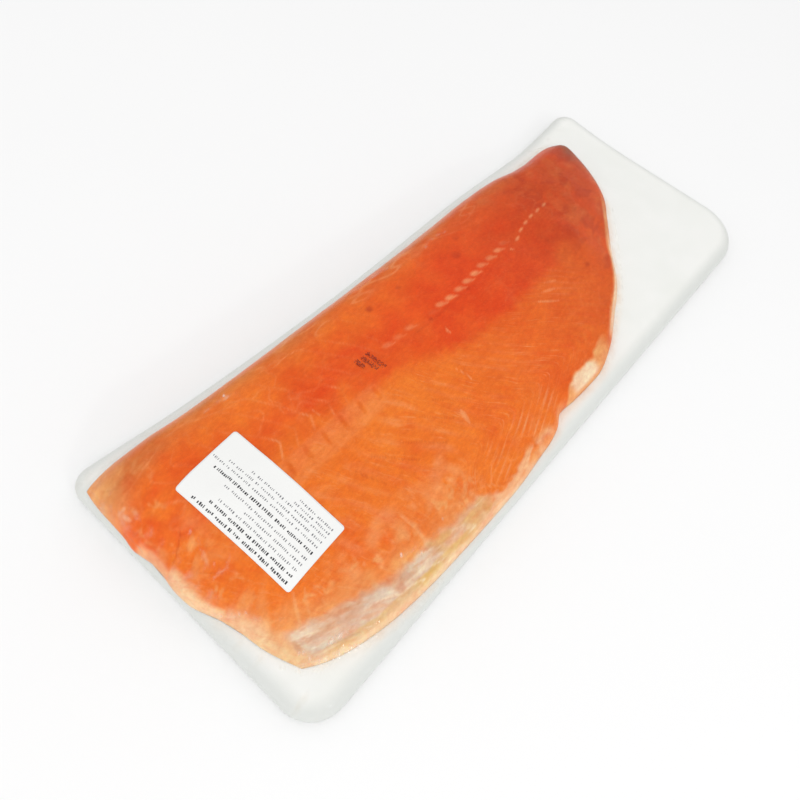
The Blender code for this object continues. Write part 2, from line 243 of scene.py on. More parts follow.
class FleshSettings(PropertyGroup):
    """Relief and colours of the fillet."""

    unevenness: length("Unevenness", "Height of the broad swells of the flesh", 0.0009)
    line_depth: length("Line depth", "Depth of the lines between the muscle layers", 0.00016)
    red: colour("Red flesh", "Flesh along the middle", 232, 72, 14)
    orange: colour("Orange flesh", "Flesh of the belly", 241, 120, 32)
    tail: colour("Tail flesh", "Flesh towards the tail", 206, 75, 23)
    dusk: colour("Tail tip", "Brownish thin flesh at the tip of the tail", 158, 86, 62)
    pale: colour("Back edge", "Paler fibres along the back", 210, 122, 62)
    blood: colour("Blood", "Dark red marks", 176, 38, 14)
    line: colour("Muscle lines", "Connective tissue between the muscle layers", 248, 178, 120)
    fat: colour("Peach fat", "Thin fat over flesh", 242, 175, 109)
    # Also the colour of the painted highlight streaks on the lining
    cream: colour("Cream fat", "Thick fat", 250, 226, 192)
    membrane: colour("Membrane", "Lining of the belly", 226, 199, 175)
    brown: colour("Brown tinge", "Brown tinge of the lining", 206, 134, 92)
    yellow: colour("Yellow fat", "Rim of yellow fat", 228, 180, 94)
    skin: colour("Skin", "Silver skin of the underside", 150, 152, 150)


class FilmSettings(PropertyGroup):
    """How the film lies and shines."""

    gap: length("Gap", "How far the film's surface lies off what it covers", 0.00025)
    passes: IntProperty(name="Tautness", description="How far the film spans", default=46, min=1)
    crease: length("Crease height", "Height of the film's creases", 0.0008)
    # Painted highlight: colour of the whitish glints and creases painted on the film
    tint: colour("Crease tint", "Colour of light caught in creases", 255, 240, 222)


class LabelSettings(PropertyGroup):
    """Sizes and colours of the label and the printed date."""

    width: length("Width", "Width of the label", 0.0475)
    length: length("Length", "Length of the label", 0.0865)
    x: length("Place along", "Centre of the label along the pack", 0.2130)
    y: length("Place across", "Centre of the label across the pack", -0.0010)
    turn: FloatProperty(name="Turn", description="Turn of the label", subtype="ANGLE",
                        default=np.radians(3.0))
    corner: length("Corner radius", "Radius of the label's corners", 0.0020)
    paper: colour("Paper", "Colour of the paper", 250, 250, 248)
    ink: colour("Bold ink", "Colour of the bold print", 52, 52, 58)
    grey_ink: colour("Light ink", "Colour of the light print", 120, 120, 126)
    date_ink: colour("Date ink", "Colour of the printed date", 112, 22, 16)


class StageSettings(PropertyGroup):
    """Floor and lights."""

    floor: colour("Floor", "Colour of the floor", 253, 253, 253)
    floor_size: length("Floor size", "Side of the floor", 12.0)
    key: power("Soft light", "Power of the large light", 14.0)
    glint: power("Small light", "Power of the small light", 1.4)
    sky: share("Sky", "Brightness of the light from all round", 0.88)


class PackSettings(PropertyGroup):
    """All settings of the pack."""

    board: PointerProperty(type=BoardSettings)
    flesh: PointerProperty(type=FleshSettings)
    film: PointerProperty(type=FilmSettings)
    label: PointerProperty(type=LabelSettings)
    stage: PointerProperty(type=StageSettings)


# Shapes of curves and masks


def smooth_curve(points):
    """A function y(x) through the points, with slopes that never overshoot them."""
    xs, ys = np.array(points, float).T
    steps = np.diff(ys) / np.diff(xs)
    slopes = np.concatenate([steps[:1], (steps[:-1] + steps[1:]) / 2, steps[-1:]])
    turning = np.concatenate([[False], steps[:-1] * steps[1:] <= 0, [False]])
    slopes[turning] = 0.0
    limit = 3 * np.minimum(np.abs(np.append(steps, steps[-1])), np.abs(np.insert(steps, 0, steps[0])))
    slopes = np.clip(slopes, -limit, limit)

    def curve(x):
        x = np.clip(x, xs[0], xs[-1])
        k = np.clip(np.searchsorted(xs, x) - 1, 0, len(xs) - 2)
        width = xs[k + 1] - xs[k]
        t = (x - xs[k]) / width
        rise = t * t * (3 - 2 * t)
        return (ys[k] * (1 - rise) + ys[k + 1] * rise
                + slopes[k] * width * t * (1 - t) ** 2 - slopes[k + 1] * width * t * t * (1 - t))

    return curve


back_edge = smooth_curve(BACK_EDGE)
belly_edge = smooth_curve(BELLY_EDGE)
back_bow = smooth_curve(BACK_BOW)
tail_end = smooth_curve(TAIL_END)
head_end = smooth_curve(HEAD_END)
thickness_along = smooth_curve(THICKNESS_ALONG)
thickness_across = smooth_curve(THICKNESS_ACROSS)


def quarter_round(distance, radius):
    """0 at an edge, rising as a quarter circle to 1 at the radius and beyond it."""
    inside = np.clip(distance / radius, 0.0, 1.0)
    return np.sqrt(1.0 - (1.0 - inside) ** 2)


def ramp(value, start, end):
    """0 before start, 1 past end, and a smooth S between them. Start may be the larger of the two."""
    t = np.clip((value - start) / (end - start), 0.0, 1.0)
    return t * t * (3 - 2 * t)


def band(value, low, high, soft):
    """1 between low and high, fading to 0 over the soft width on both sides."""
    return ramp(value, low - soft, low) * ramp(value, high + soft, high)


def spot(x, y, centre_x, centre_y, radius_x, radius_y, turn=0.0):
    """A soft ellipse: 1 at its centre, 0 at its outline, turned by an angle in degrees."""
    c, s = np.cos(np.radians(turn)), np.sin(np.radians(turn))
    along = ((x - centre_x) * c + (y - centre_y) * s) / radius_x
    across = ((y - centre_y) * c - (x - centre_x) * s) / radius_y
    return ramp(np.sqrt(along ** 2 + across ** 2), 1.0, 0.25)


def stroke(x, y, points, width):
    """A soft line through points: 1 on the line, 0 at half the width from it, thinning to its two ends."""
    points = np.array(points, float)
    nearest = np.full(np.shape(x), np.inf)
    pieces = len(points) - 1
    for k, (a, b) in enumerate(zip(points[:-1], points[1:])):
        way = b - a
        t = np.clip(((x - a[0]) * way[0] + (y - a[1]) * way[1]) / (way @ way), 0.0, 1.0)
        away = np.hypot(x - a[0] - t * way[0], y - a[1] - t * way[1])
        place = (k + t) / pieces
        taper = 0.35 + 0.65 * np.sin(np.pi * np.clip(place, 0.0, 1.0))
        nearest = np.minimum(nearest, away / taper)
    return ramp(nearest, width / 2, 0.1 * width)


def unevenness(x, y, cell, seed):
    """Smooth random heights from -1 to 1, from a slanting lattice of random values with the given cell."""
    grid = np.random.default_rng(seed).uniform(-1.0, 1.0, (97, 97))
    u, v = (0.8 * x + 0.6 * y) / cell + 48.0, (0.8 * y - 0.6 * x) / cell + 48.0
    i, j = np.floor(u).astype(int), np.floor(v).astype(int)
    fu, fv = u - i, v - j
    fu, fv = fu * fu * (3 - 2 * fu), fv * fv * (3 - 2 * fv)
    i, j = i % 96, j % 96
    low = grid[i, j] * (1 - fu) + grid[i + 1, j] * fu
    high = grid[i, j + 1] * (1 - fu) + grid[i + 1, j + 1] * fu
    return low * (1 - fv) + high * fv


def clouds(x, y, cell, seed):
    """Random heights of two sizes, read at places that are themselves pushed about at random."""
    push_x = 0.5 * cell * unevenness(x, y, 1.3 * cell, seed + 100)
    push_y = 0.5 * cell * unevenness(x, y, 1.3 * cell, seed + 200)
    u, v = x + push_x, y + push_y
    return (unevenness(u, v, cell, seed) + 0.6 * unevenness(u, v, 0.45 * cell, seed + 300)) / 1.2


# Board's form


def curl(x, y, board):
    """How far the board bends up at two corners: the square of the distance past the line of the bend."""
    height = np.zeros_like(x)
    for sign_x, sign_y, tip, reach in CURLS:
        inward = (board.length / 2 - sign_x * x + board.width / 2 - sign_y * y) / np.sqrt(2)
        height += tip * np.clip(1.0 - inward / reach, 0.0, None) ** 2
    return height


def from_rim(x, y, board):
    """Distance to the board's rounded outline, below 0 outside it."""
    half_x, half_y = board.length / 2, board.width / 2
    side_x = half_x - np.abs(x)
    side_y = np.where(y > 0, half_y - y, half_y + y - back_bow(x))
    inset = np.minimum(side_x, side_y)
    for (sign_x, sign_y), radius in CORNER_RADIUS.items():
        in_corner = (sign_x * x > 0) & (sign_y * y > 0) & (side_x < radius) & (side_y < radius)
        inset = np.where(in_corner, radius - np.hypot(radius - side_x, radius - side_y), inset)
    return inset


def rim_drop(x, y, board):
    """How far the board's top has sunk below its flat part: a quarter circle within the edge's radius."""
    return board.top_edge * (1.0 - quarter_round(from_rim(x, y, board), board.top_edge))


def board_top(x, y, board):
    """Height of the board's upper face."""
    return board.top_edge + board.bottom_edge + curl(x, y, board) - rim_drop(x, y, board)


def side_of_outline(extent, radius_start, radius_end, cells, arc_steps):
    """Points along one side of a rounded rectangle, from the middle of one corner's arc to the next one's.

    Gives each point's distance along the side and its depth inwards from the side's line.
    """
    angles = np.linspace(np.pi / 4, 0.0, arc_steps + 1)
    start = radius_start * (1 - np.sin(angles))
    end = extent - radius_end * (1 - np.sin(angles[::-1]))
    straight = np.linspace(start[-1], end[0], cells - 2 * arc_steps + 1)
    depth_start = radius_start * (1 - np.cos(angles))
    depth_end = radius_end * (1 - np.cos(angles[::-1]))
    along = np.concatenate([start[:-1], straight, end[1:]])
    depth = np.concatenate([depth_start[:-1], np.zeros(len(straight)), depth_end[1:]])
    return along, depth


def board_outline(board, inset, cells, arc_steps, grow):
    """The four sides of the board's rounded outline, at an inset from its rim: back, belly, tail and head."""
    half_x, half_y = board.length / 2 + grow - inset, board.width / 2 + grow - inset
    radius = {corner: max(size + grow - inset, SMALLEST_RADIUS) for corner, size in CORNER_RADIUS.items()}
    sides = []
    for far in (-1, 1):
        along, depth = side_of_outline(2 * half_x, radius[-1, far], radius[1, far], cells[0], arc_steps)
        sides.append(np.stack([along - half_x, far * (half_y - depth)]))
    for far in (-1, 1):
        along, depth = side_of_outline(2 * half_y, radius[far, -1], radius[far, 1], cells[1], arc_steps)
        sides.append(np.stack([far * (half_x - depth), along - half_y]))
    return sides


def board_plan(board, insets, cells, arc_steps, grow=0.0):
    """Plan of a grid over the board's rounded outline, and how many rings each point lies inside the rim.

    The outer rings follow the outline at the given insets. Inside the last one the grid blends its four
    sides: the two pairs of opposite sides, each blended straight across, less the blend of the corners.
    """
    rings = len(insets) - 1
    x = np.zeros((cells[0] + 2 * rings + 1, cells[1] + 2 * rings + 1))
    y = np.zeros_like(x)
    i, j = np.indices(x.shape)
    ring = np.minimum.reduce([i, j, x.shape[0] - 1 - i, x.shape[1] - 1 - j])
    for k, inset in enumerate(insets):
        extra = 2 * (rings - k)
        sides = board_outline(board, inset, (cells[0] + extra, cells[1] + extra), arc_steps, grow)
        last_i, last_j = x.shape[0] - 1 - k, x.shape[1] - 1 - k
        for plan, axis in ((x, 0), (y, 1)):
            back, belly, tail, head = (side[axis] for side in sides)
            plan[k:last_i + 1, k] = back
            plan[k:last_i + 1, last_j] = belly
            plan[k, k:last_j + 1] = tail
            plan[last_i, k:last_j + 1] = head
    u = np.linspace(0, 1, cells[0] + 1)[:, None]
    v = np.linspace(0, 1, cells[1] + 1)[None, :]
    inner = slice(rings, -rings)
    for plan, axis in ((x, 0), (y, 1)):
        back, belly, tail, head = (side[axis] for side in sides)
        across = ((1 - v) * back[:, None] + v * belly[:, None] + (1 - u) * tail[None, :] + u * head[None, :])
        corners = ((1 - u) * (1 - v) * back[0] + u * (1 - v) * back[-1]
                   + (1 - u) * v * belly[0] + u * v * belly[-1])
        plan[inner, inner] = across - corners
    pulled = y + back_bow(x) * np.clip(-y / (board.width / 2), 0.0, None)
    return x, pulled, ring


def edge_profile(radius, steps):
    """Insets and rises of a rounded edge, from its widest line inwards: a quarter circle in equal angles."""
    angles = np.linspace(0.0, np.pi / 2, steps + 1)
    return radius * (1 - np.cos(angles)), radius * np.sin(angles)


def by_ring(values, ring):
    """The rim's value for each point, and the innermost one past the rim."""
    return np.array(values)[np.minimum(ring, len(values) - 1)]


# Fillet's form


def fillet_base(x, y, board):
    """Height of the fillet's underside, which lies on the board and drapes a little over its rim."""
    flat = board.top_edge + board.bottom_edge + CLEARANCE
    return flat + curl(x, y, board) - DRAPE * rim_drop(x, y, board)


def across_fillet(x, y):
    """Share of the fillet's width at a point, from 0 at the back edge to 1 at the belly edge."""
    return np.clip((y - back_edge(x)) / (belly_edge(x) - back_edge(x)), 0.0, 1.0)


def inside_fillet(x, y):
    """Distance to the nearest edge of the fillet's outline, below 0 outside it, measured along x or y."""
    across = across_fillet(x, y)
    to_sides = np.minimum(y - back_edge(x), belly_edge(x) - y)
    to_ends = np.minimum(x - tail_end(across), head_end(across) - x)
    return np.minimum(to_sides, to_ends)


def plain_thickness(x, y, end_floor=0.0):
    """The muscle's thickness: along times across, tapered at the head end and rounded off at every edge."""
    across = across_fillet(x, y)
    from_head = head_end(across) - x
    taper = np.sin(np.pi / 2 * np.clip(from_head / HEAD_TAPER, 0.0, 1.0))
    full = thickness_along(x) * thickness_across(across) * (HEAD_EDGE_SHARE + (1 - HEAD_EDGE_SHARE) * taper)
    sides = quarter_round(y - back_edge(x), BACK_ROUNDING) * quarter_round(belly_edge(x) - y, BELLY_ROUNDING)
    ends = (quarter_round(x - tail_end(across) + end_floor, END_ROUNDING)
            * quarter_round(from_head + end_floor, END_ROUNDING))
    return full * sides * ends


# Edges of the areas of the flesh, and how its tones and muscle lines change along it, in millimetres
red_top = smooth_curve(((-225, -34), (-170, -12), (-130, 2), (-110, 1), (-90, 8), (-50, 12), (-10, 11.5),
                        (30, 8), (60, 2), (90, -6), (130, -10), (190, -13), (275, -18)))
red_tone = smooth_curve(((-225, 0.12), (-90, 0.03), (-10, 0.02), (30, 0.16), (70, 0.34), (110, 0.42),
                         (150, 0.58), (190, 0.62), (230, 0.5), (275, 0.6)))
belly_tone = smooth_curve(((-225, 0.35), (-130, 0.45), (-90, 0.62), (-50, 0.62), (-10, 0.58), (30, 0.82),
                           (70, 0.90), (110, 0.96), (150, 0.94), (275, 0.92)))
flap_edge = smooth_curve(((-76, 76), (-70, 72.5), (-50, 74), (-34, 77.5), (-27, 77), (-18, 76.5),
                          (-8, 78.5), (0, 81), (7, 86), (14, 90)))
lining_low = smooth_curve(((96, 96), (104, 90), (118, 85.5), (132, 84.5), (150, 82.5), (175, 80), (190, 77),
                           (205, 73), (225, 66), (236, 62), (247, 57), (258, 52)))
line_lean = smooth_curve(((-110, 1.7), (-80, 1.55), (30, 1.28), (105, 0.66), (150, 0.55), (275, 0.5)))
line_spacing = smooth_curve(((-225, 9.5), (-120, 10.3), (-40, 11.0), (60, 12.0), (140, 13.6), (275, 14.5)))

# Muscle lines: where their points lie, how much higher near the head end, lean above the points, rounding
LINE_POINT = 65.0
LINE_POINT_RISE = 26.0
LINE_LEAN_ABOVE = 2.8
LINE_ROUNDING = 3.0
# Distance of the pale wisps below the lining, and the back's tone from red at 0 to orange at 1
WISP_SPACING = 9.4
BACK_TONE = 0.72


def strongest(*strengths):
    """The largest of several strengths at each point."""
    return np.maximum.reduce(strengths)


def ridge(value, width):
    """1 where a value is 0, falling off on both sides as a bell curve of the given width."""
    return np.exp(-(value / width) ** 2)


def patchy(x, y, middle, swing, cell, seed, least=0.0):
    """A random share that swings about a middle value, held between the least and 1."""
    return np.clip(middle + swing * unevenness(x, y, cell, seed), least, 1.0)


def lines_before(place):
    """How many muscle lines start before a place along the fillet: the sum of 1 / spacing up to it."""
    table = np.arange(-420.0, 300.0, 1.0)
    return np.interp(place, table, np.cumsum(1.0 / line_spacing(table)))


def muscle_phase(x, y):
    """Which muscle layer a point lies in, as a number that grows by 1 from one line to the next. Millimetres.

    Each line is a V on its side with a rounded point. Above its point it leans by LINE_LEAN_ABOVE along for
    each mm of height, and below it by the curve line_lean. Random sway bends the lines a little.
    """
    above = y - LINE_POINT - LINE_POINT_RISE * ramp(x, 96.0, 140.0)
    lean = line_lean(x)
    sway = 2.2 * unevenness(x, y, 26.0, 5) + 0.8 * unevenness(x, y, 9.0, 6)
    bend = np.sqrt(above ** 2 + LINE_ROUNDING ** 2) - LINE_ROUNDING
    offset = (LINE_LEAN_ABOVE - lean) / 2 * above + (LINE_LEAN_ABOVE + lean) / 2 * bend
    return lines_before(x - offset + sway)


def muscle_lines(x, y):
    """Strength of the pale lines between the muscle layers: narrow peaks of the phase. Millimetres."""
    phase = muscle_phase(x, y)
    part = phase % 1.0
    layer = np.random.default_rng(9).uniform(0.35, 1.0, 128)[np.floor(phase).astype(int) % 128]
    upper = ramp(y, 63.0, 70.0) * band(x, 16.0, 98.0, 24.0) * ramp(y, 94.0, 86.0)
    lower = ramp(y, 68.0, 52.0) * ramp(y, 4.0, 16.0)
    mid_belly = lower * band(x, 10.0, 110.0, 25.0)
    near_head = ramp(y, 66.0, 54.0) * ramp(y, -6.0, 8.0) * band(x, 100.0, 195.0, 15.0)
    tail_part = lower * band(x, -105.0, -45.0, 15.0) * ramp(y, 42.0, 30.0)
    sharp = 0.46 * upper + 0.03 * mid_belly + 0.06 * near_head + 0.18 * tail_part
    wide = 0.22 * upper + 0.16 * mid_belly + 0.24 * near_head + 0.05 * tail_part
    both = ridge(part - 0.5, 0.10) * sharp + ridge(part - 0.42, 0.20) * wide
    return both * patchy(x, y, 0.55, 0.9, 12.0, 8) * layer


def hanging_wisps(x, y):
    """Pale wisps that hang below the lining: upright near its start, leaning at the head end. Millimetres."""
    lean = 0.8 * ramp(x, 165.0, 225.0) - 0.3 * ramp(x, 140.0, 110.0)
    place = (x - lean * (y - 62.0) + 3.0 * unevenness(x, y, 16.0, 81)) / WISP_SPACING
    strong = np.random.default_rng(82).uniform(0.3, 1.0, 96)[np.floor(place).astype(int) % 96]
    reach = band(lining_low(x) - y, 2.0, 20.0, 8.0) * band(x, 118.0, 196.0, 16.0)
    broken = np.clip(0.35 + 1.5 * clouds(x, y, 9.0, 83), 0.0, 1.0)
    return ridge(place % 1.0 - 0.5, 0.16) * strong * reach * broken


def back_lines(x, y):
    """Faint pale arcs in the back muscle: peaks of a phase that leans towards the back. Millimetres."""
    part = lines_before(x - 0.55 * np.abs(y + 22.0) ** 1.05 + 2.5 * unevenness(x, y, 22.0, 15)) % 1.0
    near = band(y, -58.0, -28.0, 8.0) * ramp(x, 40.0, 110.0) * ramp(x, 250.0, 200.0)
    arcs = band(y, -25.0, -14.0, 4.0) * band(x, 135.0, 195.0, 15.0)
    return ridge(part - 0.5, 0.06) * (0.16 * near + 0.5 * arcs) * patchy(x, y, 0.5, 0.8, 11.0, 16)


def bone_marks(x, y):
    """Pale marks where the pin bones were: leaning ellipses, and thin dashes by the tail. Millimetres."""
    marks = np.zeros_like(x)
    for centre_x, centre_y, strength in PIN_BONES:
        mark = spot(x, y, centre_x, centre_y, *BONE_SHAPE)
        tip = spot(x, y, centre_x + TIP_PLACE[0], centre_y + TIP_PLACE[1], *TIP_SHAPE)
        marks = strongest(marks, strength * mark, strength * 0.8 * tip)
    for centre_x, centre_y in BONE_DASHES:
        marks = strongest(marks, 0.85 * spot(x, y, centre_x, centre_y, *DASH_SHAPE))
    return marks


class Places:
    """Points of the fillet in millimetres: their distances to its edges, and what several tones share."""

    def __init__(self, x, y):
        self.x, self.y = x, y
        across = across_fillet(x * MM, y * MM)
        self.from_belly = belly_edge(x * MM) / MM - y
        self.from_back = y - back_edge(x * MM) / MM
        self.from_head = head_end(across) / MM - x
        self.from_tail = x - tail_end(across) / MM
        self.above_lining = y - lining_low(x)
        self.swell = unevenness(x, y, 30.0, 21)
        self.mottle = clouds(x, y, 11.0, 22)
        self.streaks = unevenness(x, 3.2 * y + 0.12 * x, 26.0, 23)
        soft = 7.0 + 5.0 * ramp(x, 40.0, 120.0)
        self.to_belly = ramp(y - red_top(x) + 3.0 * self.mottle + 2.0 * self.streaks, -soft, soft)
        lean = DROP_LEAN * (y - DROP_Y)
        self.drops = strongest(*(spot(x, y, centre + lean, DROP_Y, *DROP_RADII) for centre in TEARDROPS))
        self.near_lining = ramp(self.above_lining, -30.0, -8.0) * ramp(x, 84.0, 120.0)
        self.near_head = ramp(self.from_head, 42.0, 14.0)
        self.corner = ramp(y, 16.0, 32.0) * ramp(
            self.from_head + 0.10 * np.abs(y - 55.0) + 2.2 * self.mottle, 17.0, 5.0)
        lining_edge = self.above_lining + 2.0 * self.mottle + 1.2 * unevenness(x, y, 5.0, 59)
        self.lining = (ramp(lining_edge, -3.5, 3.5) * ramp(self.from_belly, 1.0, 5.0)
                       * ramp(x, 92.0, 122.0) * ramp(x, 254.0, 246.0))


def red_to_orange(at):
    """The tone from red at 0 to orange at 1: the middle's own, turning into the belly's and the back's."""
    x, y = at.x, at.y
    to_back = ramp(y + 3.0 * at.swell, -40.0, -62.0) * (0.3 + 0.7 * ramp(x, -20.0, 60.0))
    middle = np.clip(red_tone(x) - 0.30 * spot(x, y, 130.0, -34.0, 120.0, 15.0), 0.0, 1.0)
    tone = middle + (belly_tone(x) - middle) * at.to_belly + (BACK_TONE - middle) * 0.75 * to_back
    waves = np.cos(2 * np.pi * muscle_phase(x, y)) * band(y, 14.0, 62.0, 12.0) * band(x, -100.0, 200.0, 30.0)
    lively = 0.35 + 0.65 * ramp(x, -20.0, 120.0)
    uneven = 0.14 * at.swell + (0.18 + 0.16 * ramp(x, 215.0, 245.0)) * at.mottle
    along_middle = 0.25 * band(y, 4.0, 18.0, 8.0) * band(x, 100.0, 180.0, 20.0)
    return tone + 0.13 * waves * patchy(x, y, 0.6, 0.8, 16.0, 66) + lively * uneven + along_middle


def tail_tones(at):
    """The duller flesh towards the tail, and the brownish flesh round its tip."""
    x, y = at.x, at.y
    tail = ramp(x, 45.0, -190.0) * (0.9 + 0.25 * at.mottle) * (1.0 - 0.3 * at.to_belly)
    dusk = strongest(
        ramp(x - 0.35 * y + 4.0 * at.mottle, -176.0, -196.0) * ramp(y, -40.0, -62.0),
        0.8 * ramp(at.from_tail + 5.0 * at.mottle, 17.0, 3.0),
        0.22 * ramp(at.from_belly + 4.0 * at.swell, 14.0, 3.0) * band(x, -215.0, -170.0, 12.0))
    return tail, dusk


def paler_flesh(at):
    """Pale fibres along the back edge, its two ends, and pale clouds near the tail."""
    x, y = at.x, at.y
    fibres = np.clip(0.62 + 0.55 * at.streaks + 0.25 * at.mottle, 0.0, 1.0)
    back = ramp(y + 2.5 * at.swell - 4.0 * ramp(x, 80.0, 120.0), -58.0, -78.0) * ramp(x, -190.0, -20.0)
    return strongest(
        0.9 * back * (0.30 + 0.70 * fibres),
        0.30 * ramp(y, -60.0, -76.0) * ramp(x, -200.0, -120.0),
        0.55 * ramp(y, -58.0, -74.0) * ramp(x, 236.0, 262.0),
        0.20 * ramp(clouds(x, y, 13.0, 65), 0.05, 0.65) * ramp(x, -95.0, -150.0))


def dark_marks(at):
    """Dark marks: blood in drops between the middle's arcs, spots, veins, tail fibres; darker lines along
    head-end cuts.
    """
    x, y = at.x, at.y
    fibres = ramp(clouds(0.45 * x, y, 8.0, 64), 0.0, 0.6) * ramp(x, -70.0, -150.0)
    long_vein = stroke(x, y, LONG_VEIN, 3.5) * np.clip(0.6 + 0.8 * at.mottle, 0.0, 1.0)
    spots = (strength * spot(x, y, centre_x, centre_y, radius, 0.8 * radius)
             for centre_x, centre_y, radius, strength in BLOOD_SPOTS)
    veins = (0.20 * stroke(x, y, points, 2.0) for points in DARK_VEINS)
    slits = (0.22 * stroke(x, y, points, width) for *points, width in SLITS)
    return strongest(0.15 * at.drops * ramp(x, 100.0, 130.0), 0.34 * fibres, 0.2 * long_vein,
                     *spots, *veins, *slits)


def pale_lines(at):
    """Connective tissue: lines, bone marks, wisps, streaks, and strands along the zeros of random heights."""
    x, y = at.x, at.y
    streaks = (strength * stroke(x, y, points, 2.2 * width) for *points, width, strength in PALE_STREAKS)
    between = band(y, -10.0, 4.0, 4.0) * band(x, 112.0, 188.0, 10.0) * (1.0 - at.drops)
    strands = strongest(
        ridge(unevenness(x, 1.25 * y, 10.0, 51), 0.10) * patchy(x, y, 0.4, 1.2, 17.0, 52),
        0.7 * ridge(unevenness(x, 1.6 * y, 6.0, 53), 0.12) * patchy(x, y, 0.0, 1.5, 13.0, 54))
    wispy = strongest(0.25 * at.near_lining, 0.20 * at.near_head, 0.05 + 0.09 * ramp(x, 90.0, 150.0),
                      0.30 * ramp(y, 70.0, 80.0) * band(x, 24.0, 110.0, 14.0))
    long_strands = (ridge(unevenness(0.3 * x + 0.2 * y, y, 5.0, 55), 0.14)
                    * np.clip(0.2 + 1.3 * unevenness(x, 2.0 * y, 24.0, 56), 0.0, 1.0)
                    * ramp(y, -54.0, -66.0) * ramp(x, -120.0, -40.0))
    glow = band(y, 52.0, 66.0, 7.0) * band(x, 110.0, 200.0, 12.0) * patchy(x, y, 0.3, 1.0, 9.0, 31)
    return strongest(muscle_lines(x, y), back_lines(x, y), 0.52 * bone_marks(x, y),
                     0.85 * hanging_wisps(x, y), *streaks, 0.16 * between, strands * wispy,
                     0.34 * long_strands, 0.4 * glow)


def fat_tones(at):
    """Thin peach fat and thick cream fat: the flap, rims, blotches, the head end's corner and patches."""
    x, y = at.x, at.y
    flap_rise = y - flap_edge(x) + 1.2 * at.mottle + 0.9 * unevenness(x, y, 4.5, 58)
    flap = ramp(flap_rise, -1.2, 2.2) * band(x, -46.0, 2.0, 22.0)
    flap_core = ramp(flap_rise, 0.0, 3.0) * band(x, -29.0, -9.0, 10.0) * ramp(at.from_belly, 0.5, 3.5)
    tail_rim = (ramp(at.from_belly + 0.8 * at.mottle, 8.4, 5.2)
                * ramp(x, -206.0, -180.0) * ramp(x, -62.0, -80.0))
    belly_rim = ramp(at.from_belly + 0.9 * at.mottle, 4.6, 1.8) * ramp(x, 56.0, 96.0) * (0.8 + 0.2 * at.swell)
    blotches = (ramp(clouds(0.6 * x, y, 7.0, 33), -0.35, 0.35)
                * ramp(at.from_belly + 2.0 * at.mottle, 13.0, 7.0) * band(x, 40.0, 118.0, 10.0))
    strip = strongest(ramp(at.from_head + 1.0 * at.mottle, 9.0, 3.5) * band(y, -10.0, 22.0, 7.0),
                      0.6 * ramp(at.from_head + 1.5 * at.mottle, 5.5, 1.5) * band(y, -34.0, -10.0, 6.0))
    below_lining = (ramp(at.above_lining + 3.0 * at.streaks + 2.0 * at.mottle, -19.0, -1.0)
                    * ramp(x, 96.0, 140.0) * patchy(x, y, 0.8, 0.5, 8.0, 62, least=0.3))
    patches = strongest(ramp(clouds(x, y, 13.0, 57), 0.0, 0.7), ramp(clouds(x, y, 6.0, 63), 0.25, 0.8))
    fat = strongest(
        patches * strongest(0.42 * at.near_head, 0.66 * at.near_lining),
        0.82 * flap, 0.5 * tail_rim, 0.9 * belly_rim, 0.58 * blotches, 0.85 * at.corner, 0.9 * strip,
        0.6 * ramp(at.from_belly + 1.6 * at.swell, 9.0, 3.0) * ramp(x, 20.0, 55.0),
        0.55 * ramp(at.from_head + 3.0 * at.mottle, 22.0, 4.0) * ramp(y, -44.0, -62.0),
        0.62 * below_lining,
        0.55 * spot(x, y, 246.0, 56.0, 20.0, 14.0, -30.0) * (0.75 + 0.4 * at.mottle),
        0.35 * ramp(at.from_belly, 6.0, 2.0) * ramp(x, 0.0, 20.0))
    ragged = (0.3 * strength * spot(x, y, *place) for *place, strength in RAGGED_SPOTS)
    cream = strongest(
        0.85 * flap_core, 0.6 * tail_rim * ramp(at.from_belly, 5.6, 3.8) * ramp(x, -170.0, -145.0),
        0.45 * strip, 0.3 * blotches * ramp(y, 86.0, 91.0), 0.42 * at.corner, 0.62 * belly_rim, *ragged)
    return fat, cream


def lining_tones(at):
    """The belly's lining and what lies on it: tan parts, painted highlight streaks, a brown tinge, yellow fat
    by the rim.
    """
    x, y = at.x, at.y
    fall = y + 0.13 * np.clip(x - 120.0, 0.0, 80.0) + 0.42 * np.clip(x - 190.0, 0.0, None)
    folds = np.clip(0.5 + 0.9 * clouds(0.25 * x, fall, 2.8, 35), 0.0, 1.0)
    lumps = clouds(0.5 * x, fall, 8.0, 37)
    white_part = ramp(x, 140.0, 172.0)
    covering = np.clip(0.56 + 0.24 * white_part + 0.30 * (folds - 0.5) + 0.24 * lumps, 0.0, 1.0)
    tan = at.lining * (1.0 - white_part) * 0.7
    # Painted highlight: narrow bright streaks along the lining's folds, drawn later in the cream colour
    painted_gleam = ridge(unevenness(0.16 * x, fall, 2.6, 38), 0.16) * np.clip(0.5 + 1.6 * lumps, 0.0, 1.0)
    low_side = band(at.above_lining, 0.0, 6.5, 4.0) * band(x, 160.0, 228.0, 14.0)
    low_side = low_side * ramp(clouds(0.4 * x, fall, 5.0, 67), -0.35, 0.35)
    brown = strongest(at.lining * (0.32 * low_side + 0.20 * (1.0 - folds) ** 2),
                      0.85 * spot(x, y, 249.5, 66.0, 2.4, 5.2, -6.0),
                      0.35 * spot(x, y, 238.0, 67.5, 11.0, 2.6, -24.0))
    rim = band(at.from_belly + 1.2 * at.mottle, 2.2, 6.0, 1.8) * ramp(x, 110.0, 140.0) * ramp(x, 250.0, 236.0)
    rim = rim * patchy(x, y, 0.85, 0.5, 12.0, 60, least=0.35) * (0.85 - 0.30 * ramp(x, 205.0, 220.0))
    ochre = ramp(clouds(0.3 * x, fall, 4.5, 68), -0.2, 0.5) * ramp(x, 190.0, 150.0)
    yellow = strongest(rim, 0.52 * at.lining * ochre, 0.45 * at.corner * ramp(y, 40.0, 66.0))
    return at.lining * covering, tan, 0.62 * at.lining * painted_gleam, brown, yellow


